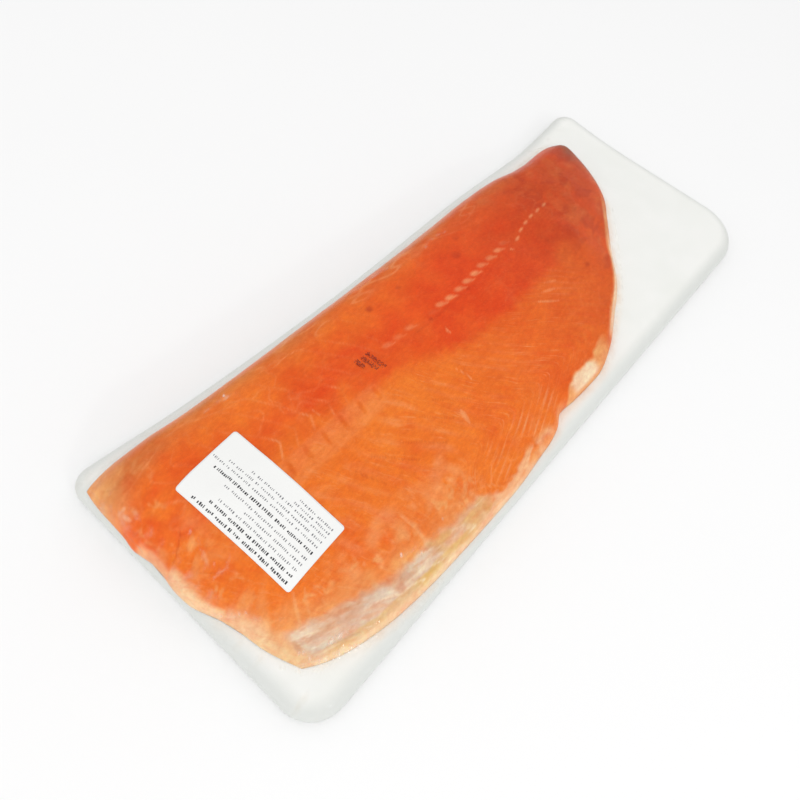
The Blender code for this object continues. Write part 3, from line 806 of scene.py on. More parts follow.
def flesh_masks(x, y):
    """How strongly each tone shows at points of the fillet, by name, from 0 to 1. Millimetres."""
    at = Places(x, y)
    tail, dusk = tail_tones(at)
    fat, cream = fat_tones(at)
    membrane, tan, painted_gleam, brown, yellow = lining_tones(at)
    masks = dict(tone=red_to_orange(at), tail=tail, dusk=dusk, pale=paler_flesh(at), blood=dark_marks(at),
                 # The cream mask also carries the lining's painted highlight streaks
                 line=pale_lines(at), fat=strongest(fat, tan), cream=strongest(cream, painted_gleam),
                 membrane=membrane, brown=brown, yellow=yellow, skin=ramp(at.from_back, 0.9, 0.2),
                 belly=at.to_belly * ramp(x, -120.0, -20.0) * (1.0 - 0.6 * at.lining))
    return {name: np.clip(values, 0.0, 1.0) for name, values in masks.items()}


def flesh_relief(x, y, flesh):
    """Heights that the plain form lacks: swells, layer lines, the groove of the pin bones, flap and folds."""
    mx, my = x / MM, y / MM
    belly_gap = (belly_edge(x) - y) / MM
    swells = flesh.unevenness * (0.7 * unevenness(mx, my, 38.0, 41) + 0.3 * unevenness(mx, my, 15.0, 42))
    lines = -flesh.line_depth * muscle_lines(mx, my)
    groove = -0.55 * MM * ridge(my + 21.0 + 0.04 * mx, 5.0) * band(mx, -150.0, 200.0, 40.0)
    bones = -0.25 * MM * bone_marks(mx, my)
    flap = 0.7 * MM * ramp(my - flap_edge(mx), -1.0, 1.0) * band(mx, -40.0, 2.0, 20.0)
    lining = ramp(my - lining_low(mx), -1.5, 2.0) * ramp(belly_gap, 1.0, 5.0) * band(mx, 112.0, 246.0, 10.0)
    fall = my + 0.42 * np.clip(mx - 190.0, 0.0, None)
    folds = 0.5 * MM * lining * (0.6 + unevenness(0.3 * mx, fall, 3.4, 35))
    fold_ridge = 1.3 * MM * stroke(mx, my, ((222, 86), (238, 80), (249, 75), (254, 71)), 7.0)
    head = 0.8 * MM * ramp(mx, 236.0, 256.0) * unevenness(mx, my, 14.0, 44)
    slit = -0.9 * MM * stroke(mx, my, ((250, -25), (256, -20.5), (265, -15)), 3.0)
    return swells + lines + groove + bones + flap + folds + fold_ridge + head + slit


def fillet_thickness(x, y, flesh, end_floor=0.0):
    """Thickness of the fillet with its relief, which fades out where the flesh is thin. 0 outside it."""
    plain = plain_thickness(x, y, end_floor)
    relief = flesh_relief(x, y, flesh) * ramp(plain, 0.002, 0.008)
    return np.where(plain > 0, np.maximum(plain + relief, 0.2 * plain), 0.0)


# Meshes


def quads(ids):
    """Faces of a grid of point numbers, facing up where its rows run along +X and its columns along +Y."""
    return np.stack([ids[:-1, :-1], ids[1:, :-1], ids[1:, 1:], ids[:-1, 1:]], axis=-1).reshape(-1, 4)


def numbered(shape, first=0):
    """A grid of point numbers, counted row by row from the first."""
    return first + np.arange(shape[0] * shape[1]).reshape(shape)


def new_piece(name, points, faces, material, slot, *replaced):
    """One object from points and faces, shaded smooth, which rides with the pack and replaces frame nodes."""
    mesh = bpy.data.meshes.new(name)
    mesh.from_pydata(np.asarray(points, float).reshape(-1, 3).tolist(), [], faces)
    mesh.update()
    mesh.shade_smooth()
    mesh.materials.append(material)
    piece = bpy.data.objects.new(name, mesh)
    bpy.context.scene.collection.objects.link(piece)
    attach(piece, "root")
    if replaced:
        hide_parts(*replaced)
    return piece


def store(piece, name, values):
    """Keeps one number for each point of a piece, for its material."""
    layer = piece.data.attributes.new(name, "FLOAT", "POINT")
    layer.data.foreach_set("value", np.ascontiguousarray(values, np.float32).ravel())


def closed_envelope(top, bottom):
    """Points and faces of a closed body between two grids that share their outline.

    The faces at the grids' corners have three points on the outline, and are split from the fourth point.
    """
    upper = numbered(top.shape[:2])
    lower = upper.copy()
    inner = bottom[1:-1, 1:-1]
    lower[1:-1, 1:-1] = numbered(inner.shape[:2], upper.size)
    points = np.concatenate([top.reshape(-1, 3), inner.reshape(-1, 3)])
    faces = np.concatenate([quads(upper), quads(lower)[:, ::-1]])
    on_outline = np.isin(faces, upper[1:-1, 1:-1], invert=True) & (faces < upper.size)
    at_corner = on_outline.sum(axis=1) == 3
    start = np.argmin(on_outline[at_corner], axis=1)
    turned = np.take_along_axis(faces[at_corner], (start[:, None] + np.arange(4)) % 4, axis=1)
    split = np.concatenate([turned[:, [0, 1, 2]], turned[:, [0, 2, 3]]])
    return points, faces[~at_corner].tolist() + split.tolist()


def board_mesh(board, cells=(150, 64), arc_steps=10, edge_steps=8):
    """The board: two grids over one rounded outline, with quarter-circle edges, bent up at two corners."""
    insets, rises = edge_profile(board.top_edge, edge_steps)
    x, y, ring = board_plan(board, insets, cells, arc_steps)
    falls = board.bottom_edge * quarter_round(insets, board.bottom_edge)
    middle = board.bottom_edge + curl(x, y, board)
    dents = -DENT_DEPTH * np.clip(unevenness(x / MM, y / MM, 17.0, 61), 0.0, 1.0) * (ring >= len(insets) - 1)
    top = np.stack([x, y, middle + by_ring(rises, ring) + dents], axis=-1)
    bottom = np.stack([x, y, middle - by_ring(falls, ring)], axis=-1)
    return closed_envelope(top, bottom)


def spread(cells, crowding):
    """Shares from 0 to 1, closer together at both ends by the given amount."""
    even = np.linspace(0.0, 1.0, cells + 1)
    return crowding * (1 - np.cos(np.pi * even)) / 2 + (1 - crowding) * even


def flesh_mesh(board, flesh):
    """The fillet: a fine upper sheet and a coarser underside that share the back and belly edges.

    A point at shares u, v of the length and width lies at x = tail + u (head - tail) and
    y = back + v (belly - back). Narrow strips close the two ends. Also gives which points belong to the
    underside only.
    """
    u, v = np.meshgrid(*(spread(cells, CROWDING) for cells in FLESH_CELLS), indexing="ij")
    x = tail_end(v) + u * (head_end(v) - tail_end(v))
    y = back_edge(x) + v * (belly_edge(x) - back_edge(x))
    base = fillet_base(x, y, board)
    top = np.stack([x, y, base + fillet_thickness(x, y, flesh, END_FLOOR)], axis=-1)
    under = np.stack([x, y, base], axis=-1)[:, ::UNDER_STEP]
    ids = numbered(top.shape[:2])
    low = np.empty(under.shape[:2], int)
    low[:, 0], low[:, -1] = ids[:, 0], ids[:, -1]
    inner = under[:, 1:-1]
    low[:, 1:-1] = numbered(inner.shape[:2], ids.size)
    faces = np.concatenate([quads(ids), quads(low)[:, ::-1]]).tolist()
    for k in range(low.shape[1] - 1):
        run = slice(k * UNDER_STEP, (k + 1) * UNDER_STEP + 1)
        tail = [low[0, k + 1], low[0, k], *ids[0, run]]
        head = [low[-1, k], low[-1, k + 1], *ids[-1, run][::-1]]
        faces += [[int(n) for n in dict.fromkeys(end)] for end in (tail, head)]
    points = np.concatenate([top.reshape(-1, 3), inner.reshape(-1, 3)])
    is_under = np.arange(len(points)) >= ids.size
    return points, faces, is_under


class FilmHeights:
    """Height of the film over a grid of points.

    The film starts on what it covers. Then, pass after pass, each point takes the average of itself and its
    eight neighbours, but never less than what lies under it. That spans the steps round the fillet as a taut
    film does. Beside the board's rim it comes back down to what it covers, and creases are added last.
    """

    def __init__(self, pack):
        board, film = pack.board, pack.film
        axes = [start + FILM_GRID_CELL * np.arange(round(-2 * start / FILM_GRID_CELL) + 1)
                for start in FILM_GRID_START]
        x, y = np.meshgrid(*axes, indexing="ij")
        thickness = fillet_thickness(x, y, pack.flesh)
        flesh_top = fillet_base(x, y, board) + thickness
        contents = np.where(thickness > 0, flesh_top, board_top(x, y, board)) + film.gap
        heights = contents.copy()
        for _ in range(film.passes):
            rows = np.pad(heights, 1, mode="edge")
            rows = (rows[:-2] + rows[1:-1] + rows[2:]) / 3
            heights = np.maximum((rows[:, :-2] + rows[:, 1:-1] + rows[:, 2:]) / 3, contents)
        heights = contents + (heights - contents) * ramp(from_rim(x, y, board), *TIGHT_STRIP)
        self.heights = heights + film.crease * film_creases(x / MM, y / MM)
        self.spans = ramp(heights - contents, 0.0004, 0.0030)

    def at(self, x, y, values=None):
        """Height, or another value of the grid, at any points, blended from the four nearest grid points."""
        u, v = (x - FILM_GRID_START[0]) / FILM_GRID_CELL, (y - FILM_GRID_START[1]) / FILM_GRID_CELL
        i = np.clip(np.floor(u).astype(int), 0, self.heights.shape[0] - 2)
        j = np.clip(np.floor(v).astype(int), 0, self.heights.shape[1] - 2)
        fu, fv = u - i, v - j
        h = self.heights if values is None else values
        low = h[i, j] * (1 - fu) + h[i + 1, j] * fu
        high = h[i, j + 1] * (1 - fu) + h[i + 1, j + 1] * fu
        return low * (1 - fv) + high * fv


# Creases of the film, which raise it and are painted whitish as highlight: points in millimetres, width,
# strength
CREASES = (
    ((-196, 4), (-170, 24), (-140, 46), (-110, 66), 1.6, 0.35),
    ((228, 88), (240, 82), (250, 78), (257, 70), 2.5, 1.0),
    ((236, 86), (246, 83), (256, 76), (262, 66), 2.0, 0.8),
    ((160, 101), (190, 99), (215, 95), (236, 89), 2.5, 0.6),
    ((262, 30), (266, 24), (268, 12), (271, 2), 2.5, 0.5),
    ((250, 4), (254, -1), (251, -8), (247, -14), 1.6, 0.35),
    ((242, 6), (248, 9), (255, 8), (262, 4), 1.6, 0.35),
    ((262, -46), (265, -52), (266, -58), (270, -66), 1.8, 0.5),
    ((172, -63), (178, -66), (184, -68), (196, -68), 2.2, 0.6),
    ((146, 80), (156, 79), (166, 77), (178, 75), 1.8, 0.35),
    ((243, 52), (252, 44), (258, 34), (263, 26), 2.0, 0.35),
    ((20, -70), (34, -73), (48, -72), (66, -74), 2.2, 0.5),
    ((-40, -66), (-30, -69), (-18, -68), (-12, -66), 2.0, 0.4),
    ((-226, -60), (-222, -72), (-214, -82), (-204, -88), 2.5, 0.5),
)

# Painted highlights on the film, short whitish glints: points in millimetres, width
GLINTS = (
    ((252, -4), (254, -1), (257, 1), 1.3),
    ((174, 74), (175, 75), (176, 77), 1.2),
    ((225, 80), (232, 78.3), (239, 76.3), 2.0),
    ((222, 91), (230, 88.5), (238, 85), (246, 81), 0.8),
    ((236, 85), (239, 84), (241, 83), 1.2),
    ((249, 78), (251, 77), (253, 76), 1.3),
    ((246, 82), (249, 79.5), (251, 79), 1.0),
    ((245, 71), (249, 70), (251, 68), 0.9),
    ((250, 76), (248.5, 73), (248.5, 71), 0.8),
    ((265, 25), (267, 22), (268, 18), 1.0),
    ((247, -21), (249, -19), (252, -18), 0.8),
    ((164, 82), (165, 82), (166, 81), 0.7),
    ((178, 97.5), (181, 97), (186, 96), 0.9),
    ((134, 99), (137, 99), (141, 99), 0.8),
    ((178, -70), (179, -69), (181, -69), 0.9),
    ((256, 34), (258, 31), (259, 28), 0.9),
    ((139, 78), (140, 78), (141, 77), 0.8),
)


def film_glints(x, y):
    """Strength of the film's painted glints, short whitish strokes. Millimetres."""
    return 1.5 * strongest(*(stroke(x, y, points, 1.3 * width) for *points, width in GLINTS))


def film_creases(x, y):
    """Strength of film creases, drawn ones and pleats at its taut edges, for its height and painted
    highlight. Millimetres.
    """
    creases = (0.55 * strength * stroke(x, y, points, 1.7 * width) for *points, width, strength in CREASES)
    ripple = unevenness(x + 0.4 * y, 0.22 * y, 3.4, 71)
    at_back = band(y, -99.0, -88.0, 4.0) * 0.10 * np.clip(ripple, 0.0, 1.0)
    at_head = band(x, 262.0, 272.0, 3.0) * 0.2 * np.clip(unevenness(0.25 * x, y, 3.6, 72), 0.0, 1.0)
    return strongest(*creases, at_back, at_head)


def film_slack(x, y):
    """How loosely the film lies, from 0 to 1: loose at the head end, belly rim and back edge. Millimetres."""
    belly_gap = belly_edge(x * MM) / MM - y
    rim = 0.7 * band(belly_gap, 0.0, 14.0, 5.0) * ramp(x, 70.0, 130.0)
    head = 0.25 * ramp(x, 226.0, 250.0) * ramp(belly_gap, -4.0, 2.0)
    back = 0.3 * ramp(y, -56.0, -68.0)
    patches = 0.15 * np.clip(unevenness(x, y, 30.0, 73), 0.0, 1.0)
    return strongest(rim, head, back, 0.10 + patches)


def film_mesh(pack, heights, cells=(326, 126), arc_steps=8, edge_steps=5):
    """The film: a closed envelope round board and fillet, on two grids over the board's rounded outline."""
    board, gap = pack.board, pack.film.gap
    insets, rises = edge_profile(board.top_edge + gap, edge_steps)
    x, y, ring = board_plan(board, insets, cells, arc_steps, grow=gap)
    middle = board.bottom_edge + curl(x, y, board)
    top_z = middle + by_ring(rises, ring)
    top_z = np.where(ring > 0, np.maximum(top_z, heights.at(x, y)), top_z)
    radius = board.bottom_edge + gap
    falls = radius * quarter_round(insets, radius)
    seam = SEAM_HEIGHT * band(y / MM, 6.0, 26.0, 1.5) * (ring > len(insets))
    bottom = np.stack([x, y, middle - by_ring(falls, ring) - seam], axis=-1)
    points, faces = closed_envelope(np.stack([x, y, top_z], axis=-1), bottom)
    # Painted highlight: creases, glints and a little where the film spans a gap, kept as crease strength that
    # whitens it
    light = strongest(film_creases(x / MM, y / MM), film_glints(x / MM, y / MM),
                      0.10 * heights.at(x, y, heights.spans))
    crease = np.concatenate([light.ravel(), np.zeros(len(points) - x.size)])
    slack = film_slack(points[:, 0] / MM, points[:, 1] / MM)
    return points, faces, {"crease": crease, "slack": slack}


def on_label(a, b, label):
    """Plan position of a place on the label, turned about its centre. a runs across it, b along it."""
    c, s = np.cos(label.turn), np.sin(label.turn)
    return label.x + a * c - b * s, label.y + a * s + b * c


def label_sheet(label, heights, lift, cells=(40, 72)):
    """The label's face: a grid whose corners are drawn in to a quarter circle, laid on the film."""
    a, b = np.meshgrid(*(np.linspace(-0.5, 0.5, n + 1) for n in cells), indexing="ij")
    a, b = a * label.width, b * label.length
    past_a = np.clip(np.abs(a) - label.width / 2 + label.corner, 0.0, None) / label.corner
    past_b = np.clip(np.abs(b) - label.length / 2 + label.corner, 0.0, None) / label.corner
    both = np.minimum(past_a, past_b)
    pull = label.corner * (1 - np.sqrt(0.5)) * both ** 2
    a, b = a - np.sign(a) * pull, b - np.sign(b) * pull
    x, y = on_label(a, b, label)
    return np.stack([x, y, heights.at(x, y) + lift], axis=-1)


def strokes_of_print(start, end, height, random):
    """Random upright strokes in groups along a line, as (place, width, foot, head) rows in millimetres."""
    rows = []
    place, left = start, random.integers(*FIRST_GROUP)
    while place > end:
        width = random.uniform(*STROKE_WIDTH)
        foot, head = random.choice(STROKE_CUTS, 2) * height
        rows.append((place, width, foot - height / 2, height / 2 - head))
        place -= width + random.uniform(*STROKE_GAP)
        left -= 1
        if left == 0:
            place -= random.uniform(*GROUP_GAP)
            left = random.integers(*NEXT_GROUP)
    return np.array(rows)


def print_strokes(bold, random):
    """Corners of all bold or all light strokes, in millimetres on the label. Every line takes its draws."""
    widen = BOLD_WIDTH if bold else LIGHT_WIDTH
    parts = []
    for across, end, height, is_bold in PRINT_LINES:
        place, width, foot, head = strokes_of_print(PRINT_START, end, height, random).T
        if is_bold == bold:
            parts.append(rectangles(across + (foot + head) / 2, place, (head - foot) / 2, widen * width / 2))
    return np.concatenate(parts)


def date_dots(random):
    """Corners of the dots of the date in millimetres: columns along each row, each dot shown by chance."""
    parts = []
    for x, first, last in STAMP_ROWS:
        along = np.arange(first, last, -DOT_PITCH)
        for step in range(DOTS_ACROSS):
            shown = random.random(len(along)) < DOT_CHANCE
            drift = DOT_SLOPE * (along - first)
            shift = random.uniform(-DOT_SHIFT, DOT_SHIFT, shown.sum())
            a = x + (step - DOTS_ACROSS // 2) * DOT_STEP - drift[shown] + shift
            parts.append(rectangles(a, along[shown], *(np.full(len(a), half) for half in DOT_HALF_SIZE)))
    return np.concatenate(parts)


def ink_boxes(corners, surface, lift):
    """Closed flat boxes of ink over plan rectangles: corners are (n, 4, 2) in metres, laid on a surface."""
    z = surface(corners[..., 0], corners[..., 1]) + lift
    upper = np.concatenate([corners, (z + INK_THICKNESS)[..., None]], axis=-1)
    lower = np.concatenate([corners, z[..., None]], axis=-1)
    points = np.concatenate([upper, lower], axis=1)
    sides = [(0, 1, 2, 3), (7, 6, 5, 4), (0, 4, 5, 1), (1, 5, 6, 2), (2, 6, 7, 3), (3, 7, 4, 0)]
    faces = (8 * np.arange(len(points))[:, None, None] + np.array(sides)[None]).reshape(-1, 4)
    return points.reshape(-1, 3), faces.tolist()


def rectangles(centre_a, centre_b, half_a, half_b):
    """Corners of upright rectangles, counterclockwise seen from above, as an (n, 4, 2) array."""
    signs = np.array([(-1, -1), (1, -1), (1, 1), (-1, 1)])
    a = centre_a[:, None] + half_a[:, None] * signs[:, 0]
    b = centre_b[:, None] + half_b[:, None] * signs[:, 1]
    return np.stack([a, b], axis=-1)


# Materials


def add_node(tree, kind, inputs=None, **settings):
    """A shader node with its settings, and its inputs set to values or joined to other nodes' outputs."""
    made = tree.nodes.new(kind)
    for key, value in settings.items():
        setattr(made, key, value)
    for key, value in (inputs or {}).items():
        if isinstance(value, bpy.types.NodeSocket):
            tree.links.new(value, made.inputs[key])
        else:
            made.inputs[key].default_value = value
    return made


def new_material(name):
    """A material with an empty node tree and its output node."""
    material = bpy.data.materials.new(name)
    material.use_nodes = True
    tree = material.node_tree
    tree.nodes.clear()
    output = tree.nodes.new("ShaderNodeOutputMaterial")
    where = add_node(tree, "ShaderNodeTexCoord").outputs["Object"]
    return material, tree, output, where


def noise(tree, where, scale, detail=3.0, roughness=0.5, stretch=None):
    """A noise pattern from 0 to 1. The scale is in features per metre, and stretch scales the three axes."""
    if stretch:
        where = add_node(tree, "ShaderNodeMapping", {"Vector": where, "Scale": stretch}).outputs[0]
    made = add_node(tree, "ShaderNodeTexNoise", {"Vector": where, "Scale": scale, "Detail": detail,
                                                 "Roughness": roughness})
    return made.outputs["Fac"]


def stored(tree, name):
    """A number kept on the piece's points."""
    return add_node(tree, "ShaderNodeAttribute", attribute_name=name).outputs["Fac"]


def maths(tree, operation, first, second):
    """A sum, product or other operation on two numbers, held between 0 and 1."""
    made = add_node(tree, "ShaderNodeMath", {0: first, 1: second}, operation=operation, use_clamp=True)
    return made.outputs[0]


def fitted(tree, value, low, high, to_low=0.0, to_high=1.0):
    """A number from one range moved to another."""
    made = add_node(tree, "ShaderNodeMapRange", {"Value": value, "From Min": low, "From Max": high,
                                                 "To Min": to_low, "To Max": to_high})
    return made.outputs[0]


def mixed(tree, factor, first, second, blend="MIX"):
    """Two colours mixed by a factor."""
    values = [(*v, 1.0) if isinstance(v, tuple) else v for v in (first, second)]
    made = add_node(tree, "ShaderNodeMix", {0: factor, 6: values[0], 7: values[1]}, data_type="RGBA",
                    blend_type=blend)
    return made.outputs[2]


def bump(tree, height, distance, strength, normal=None):
    """A normal roughened by a height pattern."""
    inputs = {"Height": height, "Distance": distance, "Strength": strength}
    if normal is not None:
        inputs["Normal"] = normal
    return add_node(tree, "ShaderNodeBump", inputs).outputs[0]


def shaded(tree, flat, pattern, low, high, darker, lighter):
    """A colour times one that goes from darker to lighter as a pattern goes from low to high."""
    return mixed(tree, 1.0, flat, mixed(tree, fitted(tree, pattern, low, high), darker, lighter), "MULTIPLY")


def finish(tree, output, shader):
    """Joins a shader to the material's output."""
    tree.links.new(shader.outputs[0], output.inputs["Surface"])


def lit_surface(tree, output, flat, rough, shine, inputs=None):
    """Joins a solid's surface to the output: its colour, roughness, share of shine, and any other inputs."""
    finish(tree, output, add_node(tree, "ShaderNodeBsdfPrincipled", {
        "Base Color": flat, "Roughness": rough, "Specular IOR Level": shine, **(inputs or {})}))


# Tones of the flesh from the lowest to the uppermost, and whether fibres break up their edges
FLESH_LAYERS = (("tail", False), ("dusk", True), ("pale", True), ("blood", False), ("line", True),
                ("fat", True), ("membrane", False), ("yellow", True), ("brown", True), ("cream", False),
                ("skin", False))


def flesh_material(flesh):
    """Raw salmon: tones layered by the stored masks, broken up by fibres and mottling, moist and soft."""
    material, tree, output, where = new_material("raw_salmon")
    fibres = noise(tree, where, 150.0, 5.0, 0.62, stretch=(0.35, 1.0, 0.6))
    grain = noise(tree, where, 900.0, 3.0, 0.6)
    cloud = noise(tree, where, 38.0, 4.0, 0.55)
    close = noise(tree, where, 420.0, 5.0, 0.65, stretch=(0.6, 1.0, 1.0))
    place = add_node(tree, "ShaderNodeSeparateXYZ", {0: where})
    along = add_node(tree, "ShaderNodeCombineXYZ", {0: stored(tree, "layer"), 1: place.outputs["Y"]})
    streaks = noise(tree, along.outputs[0], 380.0, 4.0, 0.6, stretch=(0.012, 0.22, 1.0))
    patch = fitted(tree, noise(tree, where, 62.0, 3.0), 0.36, 0.62, 0.15, 1.0)
    in_belly = maths(tree, "MULTIPLY", stored(tree, "belly"), patch)

    ragged = fitted(tree, fibres, 0.3, 0.7, 0.72, 1.22)
    tone = maths(tree, "ADD", stored(tree, "tone"), fitted(tree, cloud, 0.3, 0.7, -0.06, 0.06))
    flat = mixed(tree, tone, tuple(flesh.red), tuple(flesh.orange))
    for name, is_ragged in FLESH_LAYERS:
        amount = stored(tree, name)
        if is_ragged:
            amount = maths(tree, "MULTIPLY", amount, ragged)
        flat = mixed(tree, amount, flat, tuple(getattr(flesh, name)))

    flat = shaded(tree, flat, fibres, 0.25, 0.75, (0.96, 0.90, 0.88), (1.05, 1.10, 1.12))
    flat = shaded(tree, flat, cloud, 0.28, 0.72, (0.97, 0.88, 0.84), (1.04, 1.13, 1.16))
    pale_streak = maths(tree, "MULTIPLY", fitted(tree, streaks, 0.54, 0.74, 0.0, 0.36), in_belly)
    flat = mixed(tree, pale_streak, flat, tuple(flesh.line))
    dark_streak = maths(tree, "MULTIPLY", fitted(tree, streaks, 0.46, 0.28, 0.0, 0.34), in_belly)
    flat = mixed(tree, dark_streak, flat, tuple(flesh.red))
    flat = shaded(tree, flat, close, 0.3, 0.7, (0.94, 0.87, 0.84), (1.06, 1.15, 1.18))
    flat = mixed(tree, fitted(tree, grain, 0.60, 0.78, 0.0, 0.20), flat, tuple(flesh.line))
    normal = bump(tree, grain, 0.0001, 0.4, bump(tree, fibres, 0.0005, 0.5))
    lit_surface(tree, output, flat, fitted(tree, cloud, 0.3, 0.7, 0.34, 0.52), 0.22, {
        "Normal": normal, "Subsurface Weight": 0.22, "Subsurface Radius": (1.0, 0.35, 0.16),
        "Subsurface Scale": 0.0035})
    return material


def foam_material(board):
    """Pressed foam: white, faintly mottled and dimpled; stored masks tint it warm by the fish and paint shade
    at its rim.
    """
    material, tree, output, where = new_material("white_foam")
    mottle = noise(tree, where, 26.0, 4.0, 0.6)
    beads = add_node(tree, "ShaderNodeTexVoronoi", {"Vector": where, "Scale": 520.0}).outputs["Distance"]
    flat = mixed(tree, fitted(tree, mottle, 0.35, 0.7), tuple(board.foam), tuple(board.shade))
    smears = fitted(tree, noise(tree, where, 95.0, 4.0), 0.3, 0.62)
    flat = mixed(tree, maths(tree, "MULTIPLY", stored(tree, "juice"), smears), flat, tuple(board.juice))
    # Painted shade: greyer foam in a strip inside the rim
    flat = mixed(tree, stored(tree, "rim"), flat, tuple(board.rim_shade))
    normal = bump(tree, mottle, 0.0012, 0.3, bump(tree, beads, 0.00012, 0.15))
    lit_surface(tree, output, flat, fitted(tree, mottle, 0.3, 0.7, 0.55, 0.70), 0.3, {
        "Normal": normal, "Subsurface Weight": 0.10, "Subsurface Radius": (1.0, 1.0, 1.0),
        "Subsurface Scale": 0.003})
    return material


def film_material(film):
    """Clear film: see-through, shining by the angle of view, with a painted highlight of whitish colour on
    its creases.
    """
    material, tree, output, where = new_material("clear_film")
    ripples = noise(tree, where, 70.0, 3.0, 0.5)
    fine = noise(tree, where, 420.0, 2.0, 0.5)
    slack = stored(tree, "slack")
    normal = bump(tree, fine, 0.0005, slack, bump(tree, ripples, 0.0022, slack))
    clear = add_node(tree, "ShaderNodeBsdfTransparent", {"Color": (1.0, 1.0, 1.0, 1.0)})
    shine = add_node(tree, "ShaderNodeBsdfGlossy", {"Color": (1.0, 1.0, 1.0, 1.0), "Roughness": 0.10,
                                                    "Normal": normal})
    painted_glint = add_node(tree, "ShaderNodeBsdfDiffuse", {"Color": (*film.tint, 1.0), "Normal": normal})
    slant = add_node(tree, "ShaderNodeLayerWeight", {"Blend": 0.5, "Normal": normal}).outputs["Facing"]
    angle = fitted(tree, maths(tree, "POWER", slant, 5.0), 0.0, 1.0, 0.02, 0.25)
    surface = add_node(tree, "ShaderNodeMixShader", {0: angle, 1: clear.outputs[0], 2: shine.outputs[0]})
    broken = fitted(tree, noise(tree, where, 160.0, 3.0, 0.5), 0.40, 0.66, 0.05, 0.75)
    # Painted highlight: whitish diffuse colour mixed in by the stored crease strength
    painted_glint_share = maths(tree, "MULTIPLY", stored(tree, "crease"), broken)
    both = add_node(tree, "ShaderNodeMixShader", {0: painted_glint_share, 1: surface.outputs[0], 2: painted_glint.outputs[0]})
    finish(tree, output, both)
    return material


def paper_material(label):
    """Coated paper with a faint fibre and slow waves of shade."""
    material, tree, output, where = new_material("label_paper")
    fibre = noise(tree, where, 1500.0, 3.0, 0.6)
    cloud = noise(tree, where, 60.0, 2.0, 0.5)
    pale = tuple(label.paper)
    flat = mixed(tree, fitted(tree, fibre, 0.3, 0.7), pale, tuple(0.955 * v for v in pale))
    flat = mixed(tree, fitted(tree, cloud, 0.3, 0.7, 0.0, 0.5), flat, tuple(0.95 * v for v in pale))
    normal = bump(tree, fibre, 0.00006, 0.4)
    lit_surface(tree, output, flat, fitted(tree, cloud, 0.3, 0.7, 0.42, 0.55), 0.35, {"Normal": normal})
    return material


def ink_material(name, ink, weakest):
    """Printing ink that is thinner in places."""
    material, tree, output, where = new_material(name)
    worn = noise(tree, where, 700.0, 3.0, 0.6)
    thin = tuple(weakest + (1 - weakest) * v for v in ink)
    flat = mixed(tree, fitted(tree, worn, 0.45, 0.7), tuple(ink), thin)
    lit_surface(tree, output, flat, fitted(tree, worn, 0.3, 0.7, 0.45, 0.65), 0.25)
    return material


def floor_material(tone):
    """Plain pale paper floor."""
    material, tree, output, where = new_material("pale_floor")
    cloud = noise(tree, where, 3.0, 2.0, 0.5)
    flat = mixed(tree, cloud, tone, tuple(0.985 * v for v in tone))
    lit_surface(tree, output, flat, 0.9, 0.0)
    return material


# Operators


class SALMON_PACK_OT_board(Operator):
    """Make the foam board"""

    bl_idname = "salmon_pack.board"
    bl_label = "Foam board"
    bl_options = {"REGISTER", "UNDO"}

    def execute(self, context):
        """The board, with its warm tint beside the fish and its painted rim shade kept on its points."""
        pack = context.scene.salmon_pack
        points, faces = board_mesh(pack.board)
        piece = new_piece("board", points, faces, foam_material(pack.board), "foam_board", "foam_board")
        x, y, z = points.T
        beside_fish = ramp(inside_fillet(x, y), *WARM_TINT_REACH)
        store(piece, "juice", ramp(z, *WARM_TINT_HEIGHT) * beside_fish * ramp(x, *WARM_TINT_END))
        # Painted shade: how strongly the foam is greyed inside the rim
        store(piece, "rim", ramp(from_rim(x, y, pack.board), *RIM_SHADE_STRIP))
        return {"FINISHED"}


class SALMON_PACK_OT_flesh(Operator):
    """Make the salmon fillet"""

    bl_idname = "salmon_pack.flesh"
    bl_label = "Salmon fillet"
    bl_options = {"REGISTER", "UNDO"}

    def execute(self, context):
        """The fillet, with the masks of its tones kept on its points."""
        pack = context.scene.salmon_pack
        points, faces, is_under = flesh_mesh(pack.board, pack.flesh)
        piece = new_piece("salmon_flesh", points, faces, flesh_material(pack.flesh), "fillet", "fillet")
        x, y = points[:, 0] / MM, points[:, 1] / MM
        masks = flesh_masks(x, y)
        masks["skin"] = np.maximum(masks["skin"], is_under)
        masks["layer"] = muscle_phase(x, y)
        for name, values in masks.items():
            store(piece, name, values)
        return {"FINISHED"}


class SALMON_PACK_OT_film(Operator):
    """Make the clear film round board and fillet"""

    bl_idname = "salmon_pack.film"
    bl_label = "Clear film"
    bl_options = {"REGISTER", "UNDO"}

    def execute(self, context):
        """The film, with the strength of its creases and painted highlights kept on its points."""
        pack = context.scene.salmon_pack
        points, faces, kept = film_mesh(pack, FilmHeights(pack))
        piece = new_piece("clear_film", points, faces, film_material(pack.film), "film", "film")
        for name, values in kept.items():
            store(piece, name, values)
        return {"FINISHED"}


class SALMON_PACK_OT_label(Operator):
    """Make the paper label and its print"""

    bl_idname = "salmon_pack.label"
    bl_label = "Paper label"
    bl_options = {"REGISTER", "UNDO"}

    def execute(self, context):
        """The paper on the film, and rows of plain strokes in place of words."""
        pack = context.scene.salmon_pack
        label, heights = pack.label, FilmHeights(pack)
        sheet = label_sheet(label, heights, PAPER_LIFT)
        faces = quads(numbered(sheet.shape[:2])).tolist()
        paper = new_piece("label_paper", sheet, faces, paper_material(label), "label", "label")
        thick = paper.modifiers.new("Paper", "SOLIDIFY")
        thick.thickness = PAPER_THICKNESS
        thick.offset = -1.0
        random = np.random.default_rng(7)
        for bold, name, ink in ((True, "bold_print", label.ink), (False, "light_print", label.grey_ink)):
            corners = print_strokes(bold, random) * MM
            corners = np.stack(on_label(corners[..., 0], corners[..., 1], label), axis=-1)
            points, faces = ink_boxes(corners, heights.at, PAPER_LIFT)
            new_piece(name, points, faces, ink_material(name, ink, 0.12), "label")
        return {"FINISHED"}


